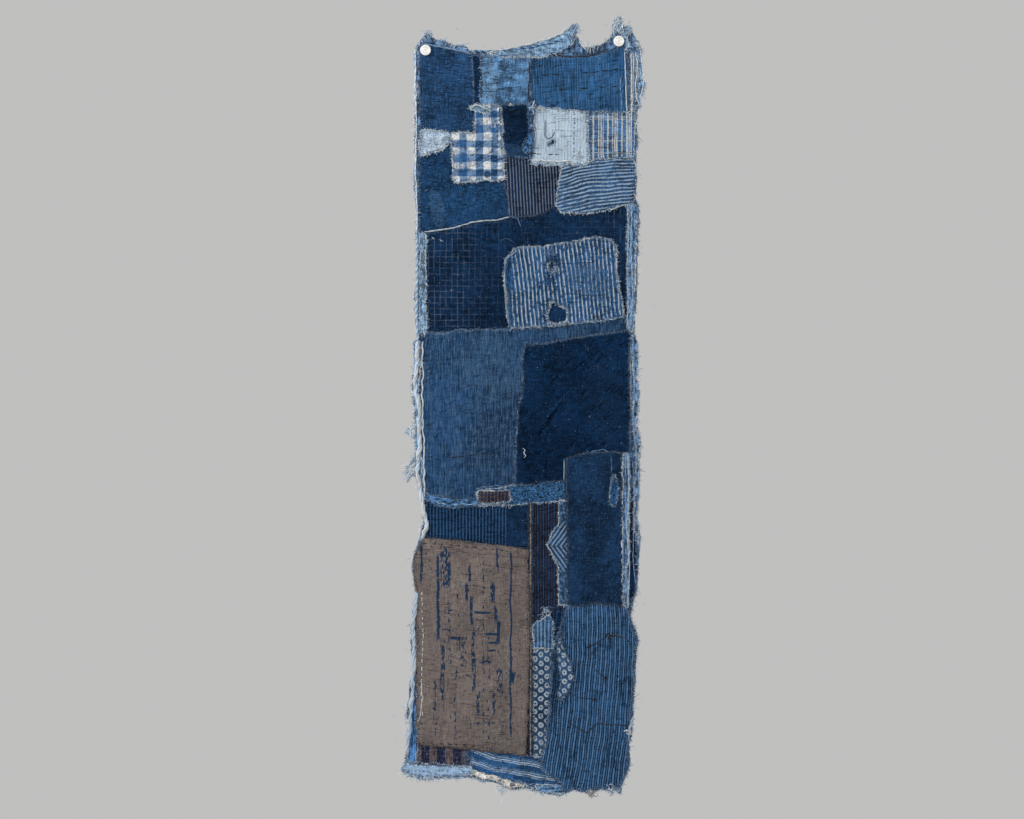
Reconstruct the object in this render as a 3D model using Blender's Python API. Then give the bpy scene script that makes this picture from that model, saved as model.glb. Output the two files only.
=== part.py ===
"""Boro patched cloth: a narrow length of worn indigo cotton, covered with sewn-on patches.

It hangs from two round heads. Lengths are in millimetres until a mesh is made.
X runs to the right, Z runs up, and the face of the cloth looks along -Y.
The origin is the middle of the top hem, midway between the two heads, in the plane of the backing cloth.
"""

import math
import re

import bmesh
import bpy
from mathutils import Vector
from mathutils.geometry import delaunay_2d_cdt, intersect_point_line

MM = 0.001  # metres in a millimetre

BACKING_THICK = 1.2
PATCH_THICK = 1.0
LAYER_GAP = 0.5  # between the backing and a patch on it
SEAM_GAP = 0.9  # between one patch and the next
NET = 25.0  # spacing of the points that carry the folds
NET_MARGIN = 9.0  # the nearest that such a point comes to an edge

HEAD_WIDE = 16.0
HEAD_DEEP = 4.5
HEAD_ROUND = 1.4
HEAD_SEGMENTS = 32
HEAD_GAP = 0.4
HEADS = {"head_left": (-144.5, -4.0), "head_right": (145.0, 9.5)}
HEAD_HOLD = 45.0  # how far from a head the cloth still lies flat
SHARP_ANGLE = math.radians(40)
MERGE = 1e-4  # corners nearer than this become one

# The cloth's outline, as it is worn and frayed. Columns: x, z.
TOP_EDGE = (
    (-161, -18), (-158, 2), (-148, 17),
    (-142, 22), (-138, 19), (-130, 11),  # tab at the left head
    (-117, 11), (-105, 3), (-90, 4), (-76, -6), (-46, -9), (-16, -4), (12, 3), (45, 11), (64, 18),
    (73, 30), (81, 36), (85, 33), (80, 17), (87, 12),  # small folded flap
    (93, 0), (102, 0), (117, 4), (135, 18),
    (138, 27), (136, 39), (146, 47), (152, 30), (162, 35), (163, 25),  # tab at the right head
    (172, 13), (181, -7),
)
RIGHT_EDGE = (
    (177, -19), (180, -34), (178, -48), (184, -54), (180, -69), (174, -75), (178, -85), (172, -91),
    (173, -138), (170, -190), (170, -231), (176, -239), (175, -279), (172, -333), (172, -376),
    (168, -400), (168, -457), (171, -481), (174, -540), (170, -561), (178, -594), (174, -655),
    (172, -712), (178, -740), (174, -769), (174, -807), (162, -852), (175, -891), (169, -921),
    (170, -935), (165, -1024), (160, -1050), (163, -1072), (150, -1104), (149, -1118),
)
BOTTOM_EDGE = (
    (135, -1113), (118, -1110), (97, -1117), (78, -1110), (60, -1120), (45, -1119), (24, -1116),
    (7, -1110), (-13, -1111), (-24, -1110), (-37, -1102), (-63, -1098), (-75, -1093), (-93, -1093),
    (-132, -1095), (-150, -1098), (-168, -1092), (-183, -1084),
)
LEFT_EDGE = (
    (-176, -1068), (-171, -1036), (-175, -1025), (-169, -1017), (-172, -994), (-167, -952),
    (-163, -925), (-166, -892), (-166, -856), (-160, -810), (-166, -780), (-163, -760), (-152, -732),
    (-148, -706), (-151, -675), (-156, -655),
    (-161, -640), (-172, -646), (-171, -628), (-160, -615),  # lower tuft
    (-157, -589), (-159, -583), (-167, -573), (-166, -565), (-159, -562),  # upper tuft
    (-160, -532), (-165, -513), (-160, -504), (-163, -481), (-156, -441), (-156, -429), (-159, -420),
    (-162, -367), (-159, -345), (-157, -259), (-163, -192), (-160, -162), (-160, -40),
)

# The seams that part the patches, each a line of corners numbered from 1. Columns: x, z.
SEAMS = {
    # top hem, left to right
    "t": (
        (-154, -21), (-152, -1), (-142, 9), (-129, 4), (-103, -3), (-75, -12), (-61, -13), (-33, -13),
        (-9, -11), (13, -9), (34, -10), (57, -15), (82, -15), (117, -10), (135, -1), (150, 4),
        (160, -6), (172, -12),
    ),
    # under the top band
    "a": (
        (-152, -123), (-129, -126), (-106, -128), (-70, -129), (-70, -91), (-62, -85), (-32, -88),
        (13, -87), (22, -91), (73, -94), (98, -97), (160, -97), (170, -96),
    ),
    # under the pale patches
    "b": (
        (-154, -162), (-124, -157), (-112, -145), (-106, -136), (-28, -163), (14, -163), (15, -175),
        (60, -175), (94, -176), (99, -172), (124, -167), (153, -166), (168, -166),
    ),
    # under the gingham, then down beside the pinstripe
    "c": ((-101, -202), (-63, -199), (-27, -197), (-22, -228), (-19, -254)),
    # under the indigo patch
    "d": ((-154, -278), (-143, -277), (-126, -274), (-94, -269), (-75, -263), (-51, -260), (-36, -259)),
    # under the pinstripe, then up its right side
    "e": ((-1, -254), (22, -251), (37, -245), (52, -235), (55, -213), (59, -189)),
    # under the ripple stripe
    "f": ((58, -246), (73, -248), (93, -247), (117, -244), (141, -238), (159, -235), (168, -234)),
    # lower right corner of the checked patch
    "g": ((159, -403),),
    # round the blue and white stripe, clockwise from its upper left
    "h": (
        (-21, -313), (-9, -300), (16, -300), (40, -297), (78, -292), (112, -284), (130, -288),
        (141, -300), (142, -345), (148, -378), (151, -403), (85, -412), (39, -416), (-19, -421),
        (-21, -390), (-26, -340),
    ),
    # under the checked patch
    "i": ((-153, -431), (-144, -429), (-100, -426), (-66, -424)),
    # over the dark navy patch from its right, then down its left side
    "j": (
        (160, -425), (117, -430), (57, -441), (4, -448), (2, -471), (2, -513), (-5, -541), (-7, -588),
        (-10, -655),
    ),
    # under the worn blue patch, then over and under the speckled band
    "k": (
        (-148, -675), (-132, -681), (-102, -686), (-67, -686), (-67, -664), (-33, -660), (-10, -683),
        (-33, -686),
    ),
    # under the dark navy patch, right to left
    "l": ((161, -608), (151, -608), (127, -606), (90, -609), (67, -615), (66, -649), (51, -650)),
    # left side of the worn blue patch, down
    "m": ((-157, -513), (-154, -573), (-151, -633)),
    # outer side of the right-hand strips, down
    "n": (
        (172, -252), (170, -309), (169, -363), (166, -426), (166, -457), (169, -505), (168, -558),
        (172, -594), (169, -678), (169, -712), (172, -745), (171, -807), (166, -825),
    ),
    # inner side of the navy flap, down
    "o": ((160, -678), (158, -768), (160, -843)),
    # right side of the small striped patch, then under the slate patch
    "p": ((68, -679), (55, -836), (69, -836), (93, -837), (111, -831), (127, -833), (151, -838)),
    # over the grey-brown patch
    "q": ((-149, -737), (-141, -735), (-88, -741), (-39, -747), (-3, -751)),
    # left side of the narrow selvedge strip, down
    "r": ((10, -681), (10, -752), (6, -768), (10, -813), (10, -931), (7, -994), (6, -1060)),
    # right side of the narrow selvedge strip, down
    "s": ((16, -680), (16, -865), (16, -900), (16, -1061)),
    # left side of the big striped patch, down
    "u": (
        (65, -844), (52, -888), (47, -900), (42, -978), (37, -1044), (29, -1064), (31, -1082),
        (45, -1093), (61, -1102),
    ),
    # between the brown stripe and the dark fold
    "v": ((40, -850), (47, -861)),
    # left side of the small striped patch, down
    "w": ((56, -679), (55, -714), (37, -745), (55, -778)),
    # outer side of the big striped patch, down and then along the bottom
    "x": (
        (166, -873), (171, -892), (166, -921), (165, -963), (162, -1024), (157, -1050), (159, -1074),
        (146, -1105), (132, -1109), (117, -1107), (95, -1113), (78, -1107), (61, -1115),
    ),
    # under the grey-brown patch
    "y": ((-156, -1045), (-114, -1046), (-94, -1048), (-81, -1050), (-72, -1051), (-24, -1056)),
    # left side of the grey-brown patch, up
    "z": ((-157, -978), (-157, -888), (-157, -819), (-160, -795), (-161, -768), (-154, -747)),
    # outer side of the left strip, up
    "A": ((-173, -1072), (-168, -1035), (-166, -1000), (-164, -963), (-160, -922), (-163, -888), (-162, -855)),
    # under the plaid band and the streaked patch
    "B": ((-157, -1073), (-127, -1074), (-80, -1075), (-75, -1081), (-66, -1085), (-10, -1102)),
    # bottom hem, left to right
    "C": (
        (-179, -1082), (-166, -1089), (-150, -1094), (-132, -1092), (-93, -1090), (-72, -1090),
        (-63, -1095), (-37, -1099), (-24, -1107), (-13, -1108), (7, -1107), (24, -1113), (45, -1116),
    ),
    # left side of the fine-striped patch
    "D": ((-145, -706),),
}

# Columns: the runs of corners round the patch, its colour (linear), its roughness.
PATCHES = {
    "patch_navy_slub": ("t1-7 a6-1", (0.018, 0.043, 0.118), 0.92),
    "patch_faded_blue": ("t7-10 a8-6", (0.075, 0.165, 0.340), 0.92),
    "patch_stitched_blue": ("t10-17 a12-8", (0.030, 0.105, 0.265), 0.92),
    "strip_top_right": ("t17-18 a13-12", (0.120, 0.220, 0.380), 0.92),
    "patch_cream_lined": ("a11-13 b13-10", (0.035, 0.115, 0.290), 0.92),
    "patch_pale_blue": ("a8-11 b10-6", (0.420, 0.510, 0.640), 0.94),
    "patch_darkest": ("a7-8 b6-5", (0.007, 0.014, 0.036), 0.92),
    "patch_gingham": ("a5-7 b5 c3-1 b4 a3-4", (0.250, 0.350, 0.470), 0.92),
    "patch_pale_left": ("a1-3 b4-1", (0.400, 0.490, 0.610), 0.94),
    "patch_indigo": ("b1-4 c1-5 d7-1", (0.009, 0.036, 0.108), 0.92),
    "patch_pinstripe": ("b5-8 e6-1 c5-3", (0.012, 0.018, 0.052), 0.92),
    "patch_ripple": ("b8-13 f7-1 e4-6", (0.080, 0.180, 0.360), 0.92),
    "patch_checked": ("d2-7 c5 e1-4 f1-6 g1 h11-1 h16-14 i4-2", (0.008, 0.024, 0.078), 0.92),
    "strip_left_pale": ("d1-2 i2-1", (0.270, 0.350, 0.470), 0.94),
    "patch_blue_white": ("h1-16", (0.130, 0.230, 0.400), 0.92),
    "strip_right_pale": ("f6-7 n1-4 j1 g1", (0.230, 0.320, 0.450), 0.94),
    "patch_worn_blue": ("i1-4 h14-11 g1 j1-9 k6-1 m3-1", (0.030, 0.095, 0.240), 0.92),
    "patch_dark_navy": ("j4-1 l1-7 j9-5", (0.006, 0.019, 0.062), 0.92),
    "strip_right_upper": ("j1 n4-9 o1 l1", (0.100, 0.190, 0.350), 0.92),
    "patch_slate": ("l5-2 p7-3 p1 l6", (0.013, 0.034, 0.102), 0.92),
    "strip_right_light": ("l2-1 o1-3 p7", (0.180, 0.270, 0.420), 0.94),
    "flap_navy": ("o1 n9-13 o3-2", (0.007, 0.016, 0.050), 0.92),
    "band_speckled": ("k5-6 j9 l7-6 p1 w1 s1 r1 k7-8 k4", (0.090, 0.130, 0.200), 0.92),
    "patch_fine_stripe": ("k1-4 k8-7 r1-2 q5-1 D1", (0.015, 0.048, 0.140), 0.92),
    "strip_selvedge": ("r1 s1-4 r7-2", (0.060, 0.075, 0.115), 0.92),
    "patch_brown_stripe": ("s1 w1-4 p2 v1 s2", (0.016, 0.018, 0.042), 0.92),
    "patch_slant_stripe": ("w1 p1 p3-2 w4-2", (0.060, 0.110, 0.220), 0.92),
    "patch_grey_brown": ("q1-5 r2-7 y6-1 z1-6", (0.120, 0.100, 0.092), 0.94),
    "strip_left_low": ("z3-1 y1 B1 A1-7", (0.055, 0.130, 0.290), 0.92),
    "patch_light_stripe": ("s2 v1-2 u3 s3", (0.230, 0.330, 0.480), 0.92),
    "patch_ring_dots": ("s3 u3-6 s4", (0.035, 0.085, 0.190), 0.92),
    "fold_dark": ("p2-3 u1-3 v2-1", (0.009, 0.022, 0.065), 0.92),
    "patch_big_stripe": ("p3-7 o3 x1-13 u9-1", (0.032, 0.110, 0.270), 0.92),
    "band_plaid": ("y1-4 B3-1", (0.030, 0.032, 0.062), 0.92),
    "patch_streaked": ("y4-6 r7 s4 u6-9 x13 C13-11 B6-3", (0.050, 0.150, 0.340), 0.92),
    "patch_pale_bottom": ("A1 B1-4 C6-1", (0.250, 0.410, 0.660), 0.94),
    "scrap_cream": ("B4-6 C11-6", (0.600, 0.560, 0.460), 0.94),
}
BACKING_COLOUR = (0.090, 0.170, 0.330)
METAL_COLOUR = (0.78, 0.76, 0.73)

# The soft folds. Columns: middle x, middle z, lean of its run from upright in degrees (top to the right),
# half its length, half its width, and how far it stands towards the viewer.
FOLDS = {
    "under the left head": (-128, -150, 4, 150, 50, 3.0),
    "under the right head": (132, -190, -5, 180, 50, 3.2),
    "sag between the heads": (0, -75, 88, 120, 52, 4.5),
    "under the gingham": (-70, -240, 78, 70, 48, 2.5),
    "middle left": (-70, -430, 8, 150, 55, 4.0),
    "middle right": (112, -390, -8, 120, 50, 3.2),
    "slack over the dark patch": (48, -548, 36, 95, 48, 3.4),
    "waist at the left": (-125, -640, -6, 120, 48, 3.2),
    "right-hand strips": (160, -690, 3, 170, 46, 3.0),
    "trough beside the big stripes": (48, -955, 9, 170, 48, -3.4),
    "big stripes": (118, -990, 6, 160, 55, 5.0),
    "grey-brown patch": (-75, -890, -2, 170, 60, 4.6),
    "left of the bottom hem": (-128, -1080, 86, 90, 46, 2.6),
    "right of the bottom hem": (92, -1100, 88, 90, 48, 2.6),
}


def rise(x, z):
    """How far the cloth stands forward of its hanging plane. It lies flat at the two heads."""
    total = 0.0
    for fold_x, fold_z, lean, reach, width, height in FOLDS.values():
        turn = math.radians(lean)
        along = (x - fold_x) * math.sin(turn) + (z - fold_z) * math.cos(turn)
        across = (x - fold_x) * math.cos(turn) - (z - fold_z) * math.sin(turn)
        total += height * math.exp(-((along / reach) ** 2) - (across / width) ** 2)
    for head_x, head_z in HEADS.values():
        away = math.hypot(x - head_x, z - head_z) / HEAD_HOLD
        total *= 1 - math.exp(-(away**2))
    return total


def corners(runs):
    """The corners that a text such as 't1-3 a2' names: t1, t2, t3, a2."""
    found = []
    for letter, first, last in re.findall(r"([A-Za-z])(\d+)(?:-(\d+))?", runs):
        start = int(first)
        stop = int(last or first)
        step = 1 if stop >= start else -1
        found += [Vector(SEAMS[letter][n - 1]) for n in range(start, stop + step, step)]
    return found


def anticlockwise(outline):
    area = sum(a.cross(b) for a, b in zip(outline, outline[1:] + outline[:1]))
    return outline if area > 0 else outline[::-1]


def drawn_in(outline, by):
    """The outline moved inwards by this much on every side."""
    moved = []
    for before, here, after in zip(outline[-1:] + outline[:-1], outline, outline[1:] + outline[:1]):
        first = (here - before).normalized().orthogonal()
        second = (after - here).normalized().orthogonal()
        moved.append(here + (first + second) * by / (1 + first.dot(second)))
    return moved


def divided(outline):
    """The outline with its long sides divided, so that they follow the folds."""
    points = []
    for here, after in zip(outline, outline[1:] + outline[:1]):
        pieces = max(1, math.ceil((after - here).length / NET))
        points += [here.lerp(after, n / pieces) for n in range(pieces)]
    return points


def inside(point, outline):
    """True if the point is within the outline and NET_MARGIN clear of its sides."""
    within = False
    for a, b in zip(outline, outline[1:] + outline[:1]):
        _, share = intersect_point_line(point, a, b)
        nearest = a.lerp(b, min(1, max(0, share)))
        if (point - nearest).length < NET_MARGIN:
            return False
        if (a.y > point.y) != (b.y > point.y):
            within ^= point.x < a.x + (point.y - a.y) / (b.y - a.y) * (b.x - a.x)
    return within


def net_points(outline):
    """Points in staggered rows over the inside of the outline."""
    row_height = NET * math.sqrt(3) / 2
    low_row = math.floor(min(p.y for p in outline) / row_height)
    high_row = math.ceil(max(p.y for p in outline) / row_height)
    low_column = math.floor(min(p.x for p in outline) / NET) - 1
    high_column = math.ceil(max(p.x for p in outline) / NET)
    found = []
    for row in range(low_row, high_row + 1):
        for column in range(low_column, high_column + 1):
            point = Vector(((column + row % 2 / 2) * NET, row * row_height))
            if inside(point, outline):
                found.append(point)
    return found


def material(name, colour, roughness, metallic=0.0):
    made = bpy.data.materials.new(name)
    made.use_nodes = True
    shader = made.node_tree.nodes["Principled BSDF"]
    shader.inputs["Base Color"].default_value = (*colour, 1)
    shader.inputs["Roughness"].default_value = roughness
    shader.inputs["Metallic"].default_value = metallic
    made.diffuse_color = (*colour, 1)
    return made


def add_object(name, shape, finish):
    mesh = bpy.data.meshes.new(name)
    shape.to_mesh(mesh)
    shape.free()
    mesh.materials.append(finish)
    mesh.shade_smooth()
    mesh.set_sharp_from_angle(angle=SHARP_ANGLE)
    made = bpy.data.objects.new(name, mesh)
    bpy.context.scene.collection.objects.link(made)
    return made


def add_sheet(name, outline, thick, forward, finish):
    """A closed sheet on the folds. Its middle is this far forward of the backing cloth's middle."""
    rim = divided(outline)
    points = rim + net_points(rim)
    flat, _, triangles, *_ = delaunay_2d_cdt(points, [], [range(len(rim))], 1, MERGE)
    shape = bmesh.new()
    for point in flat:
        front = -rise(point.x, point.y) - forward - thick / 2
        shape.verts.new(Vector((point.x, front, point.y)) * MM)
    shape.verts.ensure_lookup_table()
    for triangle in triangles:
        shape.faces.new([shape.verts[n] for n in triangle])
    grown = bmesh.ops.extrude_face_region(shape, geom=shape.faces[:])
    back = [part for part in grown["geom"] if isinstance(part, bmesh.types.BMVert)]
    bmesh.ops.translate(shape, vec=(0, thick * MM, 0), verts=back)
    bmesh.ops.recalc_face_normals(shape, faces=shape.faces[:])
    return add_object(name, shape, finish)


def add_backing():
    edges = TOP_EDGE + RIGHT_EDGE + BOTTOM_EDGE + LEFT_EDGE
    outline = anticlockwise([Vector(point) for point in edges])
    finish = material("worn backing", BACKING_COLOUR, 0.93)
    add_sheet("backing_cloth", outline, BACKING_THICK, 0, finish)


def add_patches():
    forward = BACKING_THICK / 2 + LAYER_GAP + PATCH_THICK / 2
    for name, (runs, colour, roughness) in PATCHES.items():
        outline = drawn_in(anticlockwise(corners(runs)), SEAM_GAP / 2)
        add_sheet(name, outline, PATCH_THICK, forward, material(name, colour, roughness))


def add_head(name, x, z, finish):
    """A round metal head that presses the cloth back, its rim rounded."""
    shape = bmesh.new()
    bmesh.ops.create_cone(
        shape,
        cap_ends=True,
        segments=HEAD_SEGMENTS,
        radius1=HEAD_WIDE / 2 * MM,
        radius2=HEAD_WIDE / 2 * MM,
        depth=HEAD_DEEP * MM,
    )
    front = [edge for edge in shape.edges if all(vert.co.z > 0 for vert in edge.verts)]
    bmesh.ops.bevel(shape, geom=front, offset=HEAD_ROUND * MM, segments=3, profile=0.5, affect="EDGES")
    made = add_object(name, shape, finish)
    back = BACKING_THICK / 2 + LAYER_GAP + PATCH_THICK + HEAD_GAP
    made.location = Vector((x, -back - HEAD_DEEP / 2, z)) * MM
    made.rotation_euler = (math.radians(90), 0, 0)


def main():
    for old in list(bpy.data.objects):
        bpy.data.objects.remove(old)
    add_backing()
    add_patches()
    metal = material("plated metal", METAL_COLOUR, 0.28, 1.0)
    for name, (x, z) in HEADS.items():
        add_head(name, x, z, metal)


main()
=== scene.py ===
import math

import bpy
import numpy as np
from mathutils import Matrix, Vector
from mathutils.geometry import delaunay_2d_cdt


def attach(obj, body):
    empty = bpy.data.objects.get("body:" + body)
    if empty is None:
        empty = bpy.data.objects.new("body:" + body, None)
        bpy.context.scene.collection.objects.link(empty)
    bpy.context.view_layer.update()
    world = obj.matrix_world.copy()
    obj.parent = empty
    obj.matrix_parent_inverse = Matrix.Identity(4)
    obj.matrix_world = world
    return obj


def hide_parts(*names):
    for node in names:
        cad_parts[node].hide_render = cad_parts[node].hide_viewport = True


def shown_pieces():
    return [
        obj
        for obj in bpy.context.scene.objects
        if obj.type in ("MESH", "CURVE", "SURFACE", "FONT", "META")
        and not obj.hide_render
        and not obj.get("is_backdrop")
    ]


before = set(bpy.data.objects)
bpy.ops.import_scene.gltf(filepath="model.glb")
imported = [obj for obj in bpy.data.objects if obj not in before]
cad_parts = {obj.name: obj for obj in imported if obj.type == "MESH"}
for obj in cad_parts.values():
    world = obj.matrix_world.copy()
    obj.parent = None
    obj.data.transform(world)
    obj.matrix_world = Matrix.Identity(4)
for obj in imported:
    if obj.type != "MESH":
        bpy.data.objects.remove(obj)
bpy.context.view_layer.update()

# Lengths are in mm up to the point where a mesh is made. x runs right, z runs up, the face looks along -y.
mm = 0.001
perMetre = 1000
scene = bpy.context.scene
rng = np.random.default_rng(41)


# shape of the hanging cloth

# the soft folds: middle x, middle z, lean from upright (top to the right), half length, half width, height
folds = {
    "under the left head": (-128, -150, 4, 150, 50, 3.0),
    "under the right head": (132, -190, -5, 180, 50, 3.2),
    "sag between the heads": (0, -75, 88, 120, 52, 4.5),
    "under the gingham": (-70, -240, 78, 70, 48, 2.5),
    "middle left": (-70, -430, 8, 150, 55, 4.0),
    "middle right": (112, -390, -8, 120, 50, 3.2),
    "slack over the dark patch": (48, -548, 36, 95, 48, 3.4),
    "waist at the left": (-125, -640, -6, 120, 48, 3.2),
    "right-hand strips": (160, -690, 3, 170, 46, 3.0),
    "trough beside the big stripes": (48, -955, 9, 170, 48, -3.4),
    "big stripes": (118, -990, 6, 160, 55, 5.0),
    "grey-brown patch": (-75, -890, -2, 170, 60, 4.6),
    "left of the bottom hem": (-128, -1080, 86, 90, 46, 2.6),
    "right of the bottom hem": (92, -1100, 88, 90, 48, 2.6),
}
heads = {"head_left": (-144.5, -4.0), "head_right": (145.0, 9.5)}

# creases and small ridges: height (minus is a trough), half width, then the points it passes through
creases = [
    (1.5, 3.4, (81, -500), (57, -519), (34, -536)),
    (1.3, 3.0, (46, -530), (39, -560), (18, -585), (7, -597)),
    (-1.2, 4.0, (70, -520), (96, -548), (118, -570)), (1.0, 4.5, (20, -470), (60, -478), (120, -462)),
    (1.1, 4.0, (-140, -35), (-120, -70), (-112, -112)),
    (0.9, 5.0, (-146, -22), (-110, -32), (-70, -34), (-30, -52)),
    (1.0, 4.0, (144, -10), (118, -42), (96, -80)), (0.9, 4.0, (148, -14), (156, -60), (150, -120)),
    (-0.9, 4.0, (-60, -30), (-20, -42), (20, -40), (60, -50)),
    (1.1, 4.0, (-140, -186), (-100, -196), (-60, -212), (-28, -222)),
    (-0.8, 3.5, (-136, -226), (-96, -236), (-52, -238)),
    (1.0, 4.0, (-140, -300), (-96, -306), (-44, -330)),
    (-0.9, 4.0, (-136, -352), (-90, -372), (-34, -368)),
    (0.9, 3.4, (-132, -398), (-86, -404), (-30, -396)), (1.1, 3.0, (46, -318), (40, -346), (52, -372)),
    (0.9, 3.0, (76, -300), (88, -350), (82, -400)), (0.9, 4.5, (-120, -470), (-80, -482), (-40, -470)),
    (-0.8, 4.0, (-130, -540), (-84, -548), (-30, -536)),
    (0.9, 4.5, (-128, -600), (-92, -612), (-40, -600)),
    (0.8, 4.0, (-120, -650), (-80, -644), (-34, -652)), (1.0, 3.5, (96, -640), (102, -700), (98, -780)),
    (-0.8, 3.4, (128, -640), (124, -720), (132, -800)),
    (1.0, 4.0, (-150, -780), (-120, -830), (-112, -900)),
    (0.9, 4.0, (-60, -770), (-52, -850), (-58, -930)), (-0.8, 4.0, (-20, -800), (-24, -880), (-18, -960)),
    (1.0, 4.5, (-130, -960), (-90, -990), (-30, -1000)),
    (1.4, 4.0, (88, -852), (96, -930), (88, -1010), (70, -1080)),
    (1.3, 4.0, (128, -850), (136, -930), (130, -1010), (118, -1090)),
    (-1.4, 3.6, (108, -846), (116, -930), (110, -1020), (96, -1096)),
    (-1.2, 3.6, (150, -860), (154, -940), (146, -1030)),
    (1.0, 3.0, (-160, -1080), (-110, -1084), (-60, -1088)),
    (0.9, 3.0, (-30, -1070), (20, -1084), (60, -1098)),
]


def rise(x, z):
    total = np.zeros_like(x)
    for midX, midZ, lean, reach, width, height in folds.values():
        turn = math.radians(lean)
        along = (x - midX) * math.sin(turn) + (z - midZ) * math.cos(turn)
        across = (x - midX) * math.cos(turn) - (z - midZ) * math.sin(turn)
        total += height * np.exp(-((along / reach) ** 2) - (across / width) ** 2)
    return total


def chance(column, row, seed):
    # one even random number from 0 to 1 for each lattice square
    mixed = (column * 374761393 + row * 668265263 + seed * 974634777) & 0xFFFFFFFF
    mixed = ((mixed ^ (mixed >> 13)) * 1274126177) & 0xFFFFFFFF
    return ((mixed ^ (mixed >> 16)) & 0xFFFFFF) / 0xFFFFFF


def bumps(x, z, size, seed):
    # smooth unevenness from -1 to 1, its humps about this wide
    turn = seed * 0.7
    u = (x * math.cos(turn) + z * math.sin(turn)) / size
    v = (z * math.cos(turn) - x * math.sin(turn)) / size
    column, row = np.floor(u).astype(np.int64), np.floor(v).astype(np.int64)
    s, t = u - column, v - row
    s, t = s * s * (3 - 2 * s), t * t * (3 - 2 * t)
    low = chance(column, row, seed) * (1 - s) + chance(column + 1, row, seed) * s
    high = chance(column, row + 1, seed) * (1 - s) + chance(column + 1, row + 1, seed) * s
    return (low * (1 - t) + high * t) * 2 - 1


def nearLine(x, z, points):
    # distance to a line through the points, and how far along it (0 to 1) the nearest spot is
    points = np.array(points, float)
    lengths = np.hypot(*np.diff(points, axis=0).T)
    best, share = np.full(x.shape, 1e9), np.zeros(x.shape)
    before = 0.0
    for start, end, length in zip(points, points[1:], lengths):
        way = (end - start) / length
        along = np.clip((x - start[0]) * way[0] + (z - start[1]) * way[1], 0, length)
        away = np.hypot(x - start[0] - way[0] * along, z - start[1] - way[1] * along)
        nearer = away < best
        best[nearer] = away[nearer]
        share[nearer] = ((before + along) / lengths.sum())[nearer]
        before += length
    return best, share


waves = [(1.1, 31, 1), (0.6, 14, 2), (0.26, 7, 3)]  # puckers: height, size, seed
headReach = 45


def surface(x, z):
    # how far the cloth stands forward: folds, creases and puckers, flat again at the two heads
    total = rise(x, z)
    shiftedX, shiftedZ = x + 3 * bumps(x, z, 22, 5), z + 3 * bumps(x, z, 22, 6)
    uneven = 1.3 * (0.75 + 0.45 * bumps(x, z, 16, 7))
    for height, width, *points in creases:
        away, share = nearLine(shiftedX, shiftedZ, points)
        ends = np.sqrt(np.clip(np.sin(math.pi * share), 0, 1))
        total += height * uneven * ends * np.exp(-((away / width) ** 2))
    total += sum(height * bumps(x, z, size, seed) for height, size, seed in waves)
    total -= 0.5 * np.abs(bumps(x, z, 19, 4)) * (0.5 + bumps(x, z, 60, 8))
    for headX, headZ in heads.values():
        total *= 1 - np.exp(-((x - headX) ** 2 + (z - headZ) ** 2) / headReach**2)
    return total


def forwardAt(x, z):
    # the same for a table of places, one row for each strand
    return surface(x.ravel(), z.ravel()).reshape(x.shape)


# outlines and sheets


def area(rim):
    ahead = np.roll(rim, -1, axis=0)
    return (rim[:, 0] * ahead[:, 1] - ahead[:, 0] * rim[:, 1]).sum() / 2


def rimOf(nodeName):
    # the outline of a sheet's face, anticlockwise as the viewer sees it
    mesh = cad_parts[nodeName].data
    mesh.calc_loop_triangles()
    points = np.array([v.co for v in mesh.vertices]) * perMetre
    spots, index = np.unique(np.round(points[:, [0, 2]], 2), axis=0, return_inverse=True)
    index = index.reshape(-1)
    sides = set()
    for face in mesh.loop_triangles:
        if face.normal.y < -0.5:
            a, b, c = (int(index[n]) for n in face.vertices)
            sides |= {(a, b), (b, c), (c, a)}
    ahead = {a: b for a, b in sides if (b, a) not in sides}
    here = first = min(ahead)
    order = []
    while not order or here != first:
        order.append(here)
        here = ahead[here]
    rim = spots[order]
    return rim if area(rim) > 0 else rim[::-1]


def evenly(line, step, closed=True):
    line = np.array(line, float)
    if closed:
        line = np.vstack([line, line[:1]])
    run = np.concatenate([[0], np.cumsum(np.hypot(*np.diff(line, axis=0).T))])
    count = max(4, round(run[-1] / step))
    where = np.linspace(0, run[-1], count, endpoint=not closed)
    return np.column_stack([np.interp(where, run, line[:, k]) for k in (0, 1)])


def outward(rim):
    way = np.roll(rim, -1, axis=0) - np.roll(rim, 1, axis=0)
    way /= np.maximum(np.hypot(*way.T), 1e-6)[:, None]
    return np.column_stack([way[:, 1], -way[:, 0]])


def wornRim(rim, step, grow, ragged, seed):
    # the outline with rounded corners, moved out by grow and made uneven by wear
    rim = evenly(rim, step)
    for n in range(2):
        rim = (np.roll(rim, 1, axis=0) + 2 * rim + np.roll(rim, -1, axis=0)) / 4
    x, z = rim.T
    uneven = bumps(x, z, 21, seed) + 0.7 * bumps(x, z, 8, seed + 1) + 0.6 * bumps(x, z, 3.6, seed + 2)
    rim = rim + outward(rim) * (grow + ragged * uneven)[:, None]
    return evenly(rim, step)


def inside(x, z, rim):
    within = np.zeros(x.shape, bool)
    for (x1, z1), (x2, z2) in zip(rim, np.roll(rim, -1, axis=0)):
        if z1 != z2:
            crosses = (z1 > z) != (z2 > z)
            within ^= crosses & (x < x1 + (z - z1) / (z2 - z1) * (x2 - x1))
    return within


def awayFrom(x, z, rim):
    # distance to the nearest point of the rim
    best = np.empty(x.shape)
    for start in range(0, len(x), 4000):
        part = slice(start, start + 4000)
        best[part] = np.hypot(x[part, None] - rim[:, 0], z[part, None] - rim[:, 1]).min(axis=1)
    return best


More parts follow.
